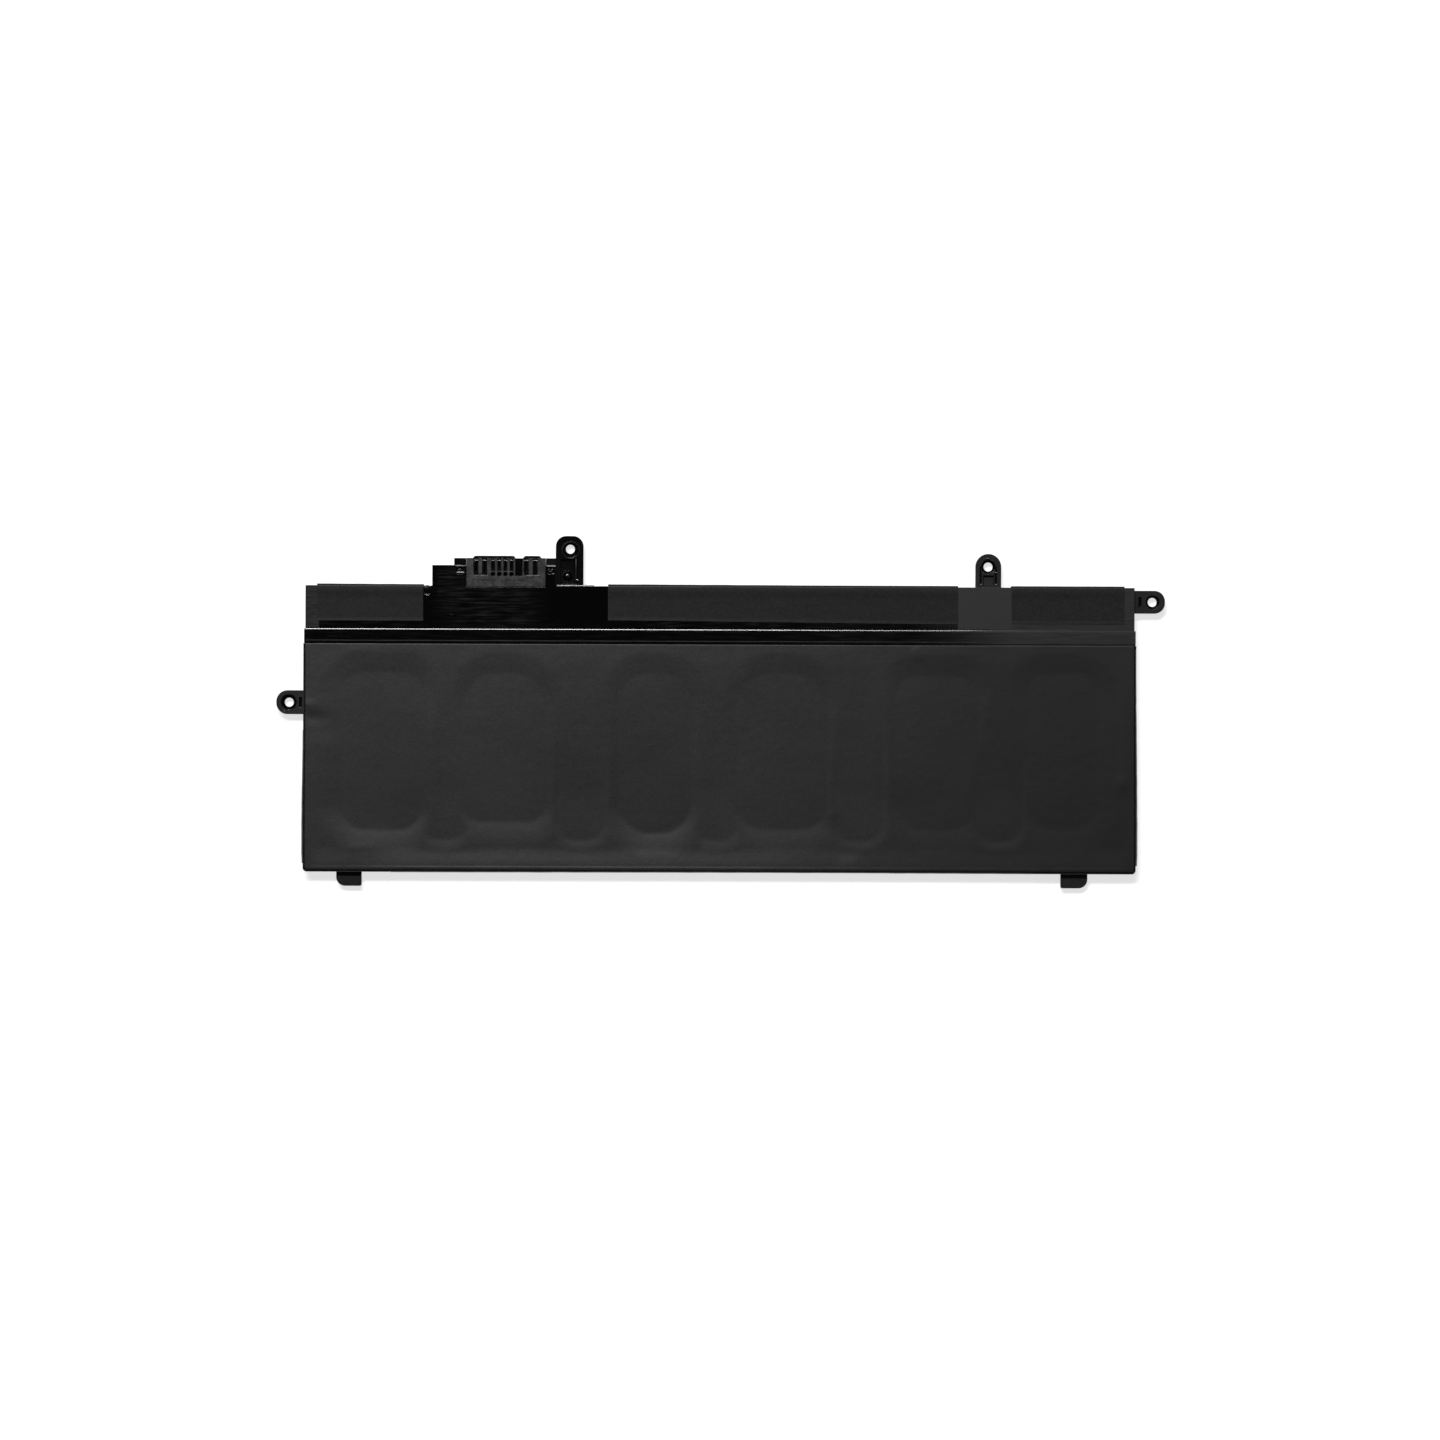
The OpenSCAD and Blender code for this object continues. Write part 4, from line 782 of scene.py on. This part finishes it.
def makeFrontFilm():
    f = film
    half = f["halfWidth"]
    reach = f["foldStart"] + f["flapDepth"]
    count, lowStep, sideStep = f["foldRows"]
    sheet = makeSheet("front_film_sheet", -half - reach, half + reach, -reach, f["topEdge"], f["pitch"])
    rows = [((0, y, 0), (0, 1, 0)) for y in (*f["leftFlap"], f["rightFlap"][1])]
    rows += [((0, f["foldStart"] - k * lowStep, 0), (0, 1, 0)) for k in range(count)]
    rows += [((0, y, 0), (0, 1, 0)) for y in f["wallRows"]]
    rows += [((0, -f["openEdge"], 0), (0, 1, 0))]
    rows += [((x, 0, 0), (1, 0, 0)) for x in f["bottomFlap"]]
    rows += [((0, f["topEdge"] - k * 0.1, 0), (0, 1, 0)) for k in (1, 2, 3)]
    for s in (-1, 1):
        rows += [((s * (half - f["foldStart"] + k * sideStep), 0, 0), (1, 0, 0)) for k in range(count)]
        rows += [((s * (half + f["openEdge"]), 0, 0), (1, 0, 0))]
    cutFlat(rows)

    def unwanted(c):
        flap = f["leftFlap"] if c.x < 0 else f["rightFlap"]
        past = abs(c.x) - half
        if past > f["openEdge"] and not flap[0] < c.y < flap[1]:
            return True
        if -c.y > f["openEdge"] and not f["bottomFlap"][0] < c.x < f["bottomFlap"][1]:
            return True
        return past > 0 and c.y < 0 and max(past, -c.y) > f["openEdge"]

    removeFaces(sheet, unwanted)
    bpy.ops.object.mode_set(mode="OBJECT")
    for v in sheet.data.vertices:
        v.co = place(*filmPoint(v.co.x, v.co.y))
    finishSheet(sheet, f["thickness"], looks["film"], 50)
    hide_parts("front_film")


# Rear film: a flat sheet with three flaps folded up over the connector edge

rearFilm = {
    "topY": 76.2,
    "stripZ": 5.95,         # face of the strip that the flaps lie on
    "thickness": 0.15,
    "bend": 0.35,           # radius along the rear edge
    "leastProud": 0.18,
    "leastLead": 0.02,      # shortest stretch from the sheet to the bend
    # unevenness of the fold, of the flaps' cut edges and of their faces: how many a millimetre, height
    "proudWaves": (0.25, 0.04),
    "edgeWaves": (0.3, 0.05),
    "faceWaves": (0.2, 0.3, 0.012),
    "wallBulge": 0.06,
    "foldLift": (0.05, 1.2, 1.4),   # rise beside the fold: height, distance from it, width
    # left end, right end, lower edge at each end, how far the fold stands proud at each end
    "flaps": [
        (-107.5, -79.2, 66.8, 66.8, 0.44, 0.36),
        (-29.9, 63.5, 67.1, 66.3, 0.50, 0.30),
        (77.8, 107.9, 66.5, 66.5, 0.24, 0.26),
    ],
    "sheet": (-110.3, 110.3, 0.3, 76.2),
    "tongue": (-76.5, -44.2, 81.4),     # below the connector: x0, x1, upper edge
    "pitch": 0.8,           # spacing of a flap's points along x
    "flapRows": 72,
    "flatPitch": 4.0,
    "edgeLift": 0.03,       # how far the flaps' cut edges stand off the strip
    "edgeLiftWidth": 0.9,
}


def rearFlapPoint(u, share, flap):
    # share runs from 0 to 1 along the sheet: round the rear edge, up the wall and over the strip
    x0, x1, low0, low1, proud0, proud1 = flap
    r = rearFilm
    t = (u - x0) / (x1 - x0)
    pitch, height = r["proudWaves"]
    proud = proud0 + (proud1 - proud0) * t + height * noise.noise(Vector((u * pitch, 1.3, 0.0)))
    proud = max(proud, r["leastProud"])
    top = r["stripZ"] + r["thickness"]
    bend = r["bend"]
    corner = bend * math.pi / 2
    wall = top - bend - proud
    over = proud * math.pi / 2
    pitch, height = r["edgeWaves"]
    flat = (low0 + (low1 - low0) * t) + height * noise.noise(Vector((u * pitch, 4.4, 0.0)))
    lead = max(proud - bend, r["leastLead"])
    s = share * (lead + corner + wall + over + r["topY"] - flat)
    if s < lead:
        return u, r["topY"] + s, 0.0
    s -= lead
    if s < corner:
        a = s / bend
        return u, r["topY"] + lead + bend * math.sin(a), bend * (1 - math.cos(a))
    s -= corner
    if s < wall:
        bulge = r["wallBulge"] * math.sin(math.pi * s / wall)
        return u, r["topY"] + lead + bend + bulge, bend + s
    s -= wall
    if s < over:
        a = s / proud
        return u, r["topY"] + proud * math.cos(a), top - proud + proud * math.sin(a)
    s -= over
    y = r["topY"] - s
    height, where, width = r["foldLift"]
    lift = height * math.exp(-((s - where) / width) ** 2)
    alongX, alongY, height = r["faceWaves"]
    lift += height * noise.noise(Vector((u * alongX, y * alongY, 6.0)))
    edge = r["topY"] - flat - s
    atEdge = easeStep((r["edgeLiftWidth"] - edge) / r["edgeLiftWidth"])
    return u, y, top + max(lift, 0.0) + r["edgeLift"] * atEdge


def makeRearFilm():
    r = rearFilm
    pieces = []
    for flap in r["flaps"]:
        x0, x1 = flap[0], flap[1]
        bpy.ops.object.select_all(action="DESELECT")
        bpy.ops.mesh.primitive_grid_add(x_subdivisions=round((x1 - x0) / r["pitch"]),
                                        y_subdivisions=r["flapRows"], size=1)
        strip = bpy.context.object
        strip.name = "rear_flap"
        for v in strip.data.vertices:
            u = x0 + (v.co.x + 0.5) * (x1 - x0)
            v.co = place(*rearFlapPoint(u, v.co.y + 0.5, flap))
        pieces.append(strip)
    x0, x1, y0, y1 = r["sheet"]
    tx0, tx1, ty = r["tongue"]
    flat = makeSheet("rear_film_sheet", x0, x1, y0, ty, r["flatPitch"])
    cutFlat([((tx0, 0, 0), (1, 0, 0)), ((tx1, 0, 0), (1, 0, 0)), ((0, y1, 0), (0, 1, 0))])
    removeFaces(flat, lambda c: c.y > y1 and not tx0 < c.x < tx1)
    bpy.ops.object.mode_set(mode="OBJECT")
    for v in flat.data.vertices:
        v.co = place(v.co.x, v.co.y, 0)
    selectOnly(flat)
    for strip in pieces:
        strip.select_set(True)
    bpy.ops.object.join()
    bpy.ops.object.mode_set(mode="EDIT")
    bpy.ops.mesh.select_all(action="SELECT")
    bpy.ops.mesh.flip_normals()
    bpy.ops.object.mode_set(mode="OBJECT")
    finishSheet(flat, r["thickness"], looks["rearFilm"], 50)
    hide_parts("rear_film")


# Moulded frame and connector housing: the CAD shapes with their edges eased

frameLook = {
    "edge": 0.10,           # radius of the eased edges, mm
    "minAngle": 32,         # edges that turn by less than this, in degrees, stay as they are
    # places with another radius: x0, x1, y0, y1, z0, z1, radius
    "places": [
        (-109.2, 109.2, 64.8, 75.6, 5.7, 6.1, 0.025),
        (-79.3, -77.0, 73.6, 76.3, 5.8, 6.1, 0.28),
        (-43.8, -30.0, 76.0, 76.4, 5.8, 6.1, 0.22),
        # the rim of the bay, with its two round corners
        (-111.2, 111.2, -0.2, 0.2, 6.3, 6.4, 0.42),
        (-111.2, -110.5, -0.2, 60.0, 6.3, 6.4, 0.42),
        (110.5, 111.2, -0.2, 60.0, 6.3, 6.4, 0.42),
        (-111.2, -110.0, -0.2, 0.9, 6.3, 6.4, 0.42),
        (110.0, 111.2, -0.2, 0.9, 6.3, 6.4, 0.42),
    ],
    "polishedAbove": 5.75,  # the rail and the strip are polished, the rest is satin
    # matt faces that look up: x0, x1, y0, y1, height
    "mattFaces": [
        (66.0, 77.0, 76.0, 90.0, 4.4),
        (66.0, 77.0, 76.0, 90.0, 3.2),
        (110.0, 119.0, 60.0, 76.0, 4.4),
        (-119.0, -110.0, 38.0, 52.0, 4.4),
    ],
    "mattBelow": -0.15,     # the feet's faces that look up are matt too
}
housingLook = {
    "edge": 0.07,
    "minAngle": 32,
    "shadeDepth": 0.35,      # the face and its edges are grainy; below this depth the slots' walls are painted shade, a darker copy of the housing plastic
}


def inBox(point, low, high):
    return all(low[i] < point[i] < high[i] for i in range(3))


def copyOfNode(node, name):
    # a copy of a CAD solid with its points merged and its flat faces whole
    piece = bpy.data.objects.new(name, nodes[node].data.copy())
    scene.collection.objects.link(piece)
    selectOnly(piece)
    bpy.ops.object.mode_set(mode="EDIT")
    bpy.ops.mesh.select_all(action="SELECT")
    bpy.ops.mesh.remove_doubles(threshold=1e-6)
    bpy.ops.mesh.dissolve_limited(angle_limit=math.radians(0.5))
    bpy.ops.object.mode_set(mode="OBJECT")
    piece.data.materials.clear()
    return piece


def easeEdges(piece, look):
    # every sharp edge is eased, some places by another radius than the rest
    places = look.get("places", [])
    widest = max([look["edge"]] + [p[6] for p in places])
    boxes = [(place(p[0], p[2], p[4]), place(p[1], p[3], p[5]), p[6]) for p in places]
    bm = bmesh.new()
    bm.from_mesh(piece.data)
    weight = bm.edges.layers.float.new("bevel_weight_edge")
    for edge in bm.edges:
        if len(edge.link_faces) != 2 or edge.calc_face_angle() < math.radians(look["minAngle"]):
            continue
        middle = (edge.verts[0].co + edge.verts[1].co) / 2
        radius = look["edge"]
        for low, high, other in boxes:
            if inBox(middle, low, high):
                radius = other
        edge[weight] = radius / widest
    bm.to_mesh(piece.data)
    bm.free()
    selectOnly(piece)
    bevel = piece.modifiers.new("eased", "BEVEL")
    bevel.width = widest * mm
    bevel.segments = 3
    bevel.limit_method = "WEIGHT"
    bevel.use_clamp_overlap = False
    bevel.miter_outer = "MITER_ARC"
    bevel.loop_slide = False
    bpy.ops.object.modifier_apply(modifier="eased")
    bpy.ops.object.shade_smooth_by_angle(angle=math.radians(40))
    flat = piece.modifiers.new("flatFaces", "WEIGHTED_NORMAL")
    flat.weight = 100
    flat.keep_sharp = True
    bpy.ops.object.modifier_apply(modifier="flatFaces")


def dressFrame():
    piece = copyOfNode("frame", "moulded_frame")
    easeEdges(piece, frameLook)
    for name in ("frameSatin", "frameGloss", "frameMatt"):
        piece.data.materials.append(looks[name])
    for face in piece.data.polygons:
        if face.center.z > frameLook["polishedAbove"] * mm:
            face.material_index = 1
        if face.normal.z < 0.9:  # only what looks up can be matt
            continue
        for x0, x1, y0, y1, height in frameLook["mattFaces"]:
            low, high = place(x0, y0, height - 0.05), place(x1, y1, height + 0.05)
            if inBox(face.center, low, high):
                face.material_index = 2
        if face.center.y < place(0, frameLook["mattBelow"], 0).y:
            face.material_index = 2
    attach(piece, "root")
    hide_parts("frame")


def dressHousing():
    piece = copyOfNode("connector_housing", "connector_body")
    easeEdges(piece, housingLook)
    piece.data.materials.append(looks["housing"])
    piece.data.materials.append(looks["slotWallShade"])
    top = max(v.co.z for v in piece.data.vertices)
    for face in piece.data.polygons:
        # faces deeper than the face get the darker copy of the plastic: painted shade in the slots
        if face.center.z < top - housingLook["shadeDepth"] * mm:
            face.material_index = 1
    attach(piece, "root")
    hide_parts("connector_housing")


# Small ribs and sloped lips on the tabs, the catches, the rail and the contacts

tabRibs = {
    # rings: x, y, height, radius, half thickness
    "rings": [
        (-39.9, 85.83, 4.36, 2.30, 0.15),
        (-41.0, 78.7, 3.22, 1.28, 0.13),
        (-78.05, 75.0, 5.62, 1.15, 0.14),
    ],
    # straight ribs: x0, x1, y0, y1, foot, top
    "straight": [
        (-38.75, -38.25, 77.4, 83.6, 3.7, 4.15),
    ],
    "rounding": 0.15,
}
slopedLips = {
    # lips whose faces slope up to the pack: x0, x1, y0, y1, height at the middle, crown
    "lips": [
        (-70.6, -68.0, 81.38, 81.62, 6.04, 0.012),
        (-70.2, -68.2, 79.62, 79.95, 5.95, 0.012),
        (-46.3, -43.9, 81.35, 81.65, 5.98, 0.012),
        (-43.6, -33.6, 76.15, 76.52, 4.50, 0.015),
        (-38.4, -37.8, 77.6, 78.2, 4.40, 0.03),
        (69.4, 70.0, 76.8, 77.3, 3.95, 0.03),
        (73.3, 73.9, 76.8, 77.3, 3.95, 0.03),
        (71.0, 71.6, 83.75, 84.2, 4.50, 0.03),
        (73.3, 73.9, 80.0, 80.5, 3.95, 0.03),
        (-65.7, -61.9, 78.80, 79.05, 5.76, 0.03),
        (-52.0, -47.8, 78.80, 79.05, 5.76, 0.03),
        (-78.7, -77.5, 73.72, 73.95, 6.00, 0.015),
        (-78.9, -78.3, 76.0, 76.25, 5.8, 0.015),
    ],
    "slope": 10.0,          # degrees
    "thickness": 0.3,
}
contactNoses = {
    "depth": 0.25,          # from front to back, mm
    "rise": 0.04,           # above the contact's own face
    "crown": 0.02,
}
railBead = {
    # the rail's rounded edge towards the strip
    "x": (-110.5, 110.5),
    "y": (64.25, 64.75),
    "top": 6.56,
    "radius": 1.75,
    "flattens": (60.0, 90.0, 4.5),  # flatter towards the right: from x, to x, times the radius
    "thickness": 0.25,
}
notchStop = {
    # the stop in the notch beside the connector
    "middle": (-78.05, 75.0),
    "foot": 4.6,
    "top": 5.6,
    "radius": 1.15,
    "rounding": 0.15,
}


def roundEdges(piece, width):
    rounding = piece.modifiers.new("rounded", "BEVEL")
    rounding.width = width * mm
    rounding.segments = 3
    bpy.ops.object.modifier_apply(modifier="rounded")


def finishSmallPiece(piece, look):
    bpy.ops.object.shade_smooth_by_angle(angle=math.radians(40))
    piece.data.materials.append(looks[look])
    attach(piece, "root")


def joinPieces(made, name):
    bpy.ops.object.select_all(action="DESELECT")
    for piece in made:
        piece.select_set(True)
    bpy.context.view_layer.objects.active = made[0]
    bpy.ops.object.join()
    bpy.context.object.name = name
    return bpy.context.object


def makeTabRibs():
    bpy.ops.object.select_all(action="DESELECT")
    made = []
    for x, y, z, radius, half in tabRibs["rings"]:
        bpy.ops.mesh.primitive_torus_add(location=place(x, y, z), major_radius=radius * mm,
                                         minor_radius=half * mm, major_segments=56, minor_segments=10)
        made.append(bpy.context.object)
    for x0, x1, y0, y1, foot, top in tabRibs["straight"]:
        middle = place((x0 + x1) / 2, (y0 + y1) / 2, (foot + top) / 2)
        bpy.ops.mesh.primitive_cube_add(size=1, location=middle)
        rib = bpy.context.object
        rib.scale = ((x1 - x0) * mm, (y1 - y0) * mm, (top - foot) * mm)
        bpy.ops.object.transform_apply(location=False, rotation=False, scale=True)
        roundEdges(rib, tabRibs["rounding"])
        made.append(rib)
    ribs = joinPieces(made, "tab_ribs")
    bpy.ops.object.transform_apply(location=True, rotation=True, scale=True)
    finishSmallPiece(ribs, "frameMatt")


def makeLip(x0, x1, y0, y1, height, crown):
    # a small crowned face that slopes up towards the pack, given some thickness
    bpy.ops.object.select_all(action="DESELECT")
    bpy.ops.mesh.primitive_grid_add(x_subdivisions=2, y_subdivisions=8, size=1)
    lip = bpy.context.object
    depth = y1 - y0
    climb = math.tan(math.radians(slopedLips["slope"])) * depth / 2
    for v in lip.data.vertices:
        t = v.co.y * 2
        z = height - climb * t - crown * t * t
        v.co = place((x0 + x1) / 2 + v.co.x * (x1 - x0), (y0 + y1) / 2 + v.co.y * depth, z)
    solid = lip.modifiers.new("thickness", "SOLIDIFY")
    solid.thickness = slopedLips["thickness"] * mm
    solid.offset = -1
    bpy.ops.object.modifier_apply(modifier="thickness")
    return lip


def makeSlopedLips():
    lips = joinPieces([makeLip(*lip) for lip in slopedLips["lips"]], "sloped_lips")
    finishSmallPiece(lips, "frameSatin")


def makeContactNoses():
    # the turned-down front end of each contact, fitted to the contact's own box
    made = []
    for name in nodes:
        if "_contact_" not in name:
            continue
        low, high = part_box(name)
        x = (low[0] + high[0]) / 2 / mm + originX
        half = (high[0] - low[0]) / mm / 2
        y = high[1] / mm + originY
        z = high[2] / mm + contactNoses["rise"]
        made.append(makeLip(x - half, x + half, y - contactNoses["depth"], y, z, contactNoses["crown"]))
    noses = joinPieces(made, "contact_noses")
    finishSmallPiece(noses, "contact")


def makeRailBead():
    b = railBead
    (x0, x1), (y0, y1) = b["x"], b["y"]
    flat0, flat1, times = b["flattens"]
    bpy.ops.object.select_all(action="DESELECT")
    bpy.ops.mesh.primitive_grid_add(x_subdivisions=60, y_subdivisions=10, size=1)
    bead = bpy.context.object
    bead.name = "rail_bead"
    for v in bead.data.vertices:
        x = x0 + (v.co.x + 0.5) * (x1 - x0)
        down = (v.co.y + 0.5) * (y1 - y0)
        radius = b["radius"] * (1 + (times - 1) * easeStep((x - flat0) / (flat1 - flat0)))
        v.co = place(x, y0 + down, b["top"] - down * down / (2 * radius))
    finishSheet(bead, b["thickness"], looks["frameGloss"])


def makeNotchStop():
    s = notchStop
    bpy.ops.object.select_all(action="DESELECT")
    bpy.ops.mesh.primitive_cylinder_add(vertices=48, radius=s["radius"] * mm,
                                        depth=(s["top"] - s["foot"]) * mm,
                                        location=place(*s["middle"], (s["foot"] + s["top"]) / 2))
    stop = bpy.context.object
    stop.name = "notch_stop"
    bpy.ops.object.transform_apply(location=True, rotation=True, scale=True)
    roundEdges(stop, s["rounding"])
    finishSmallPiece(stop, "frameSatin")


dressFrame()
print("frame eased")
makeTabRibs()
makeSlopedLips()
makeContactNoses()
makeRailBead()
makeNotchStop()
print("ribs, lips and contact noses made")
dressHousing()
print("connector housing eased")
makeFrontFilm()
print("front film laid")
makeRearFilm()
print("rear film folded")
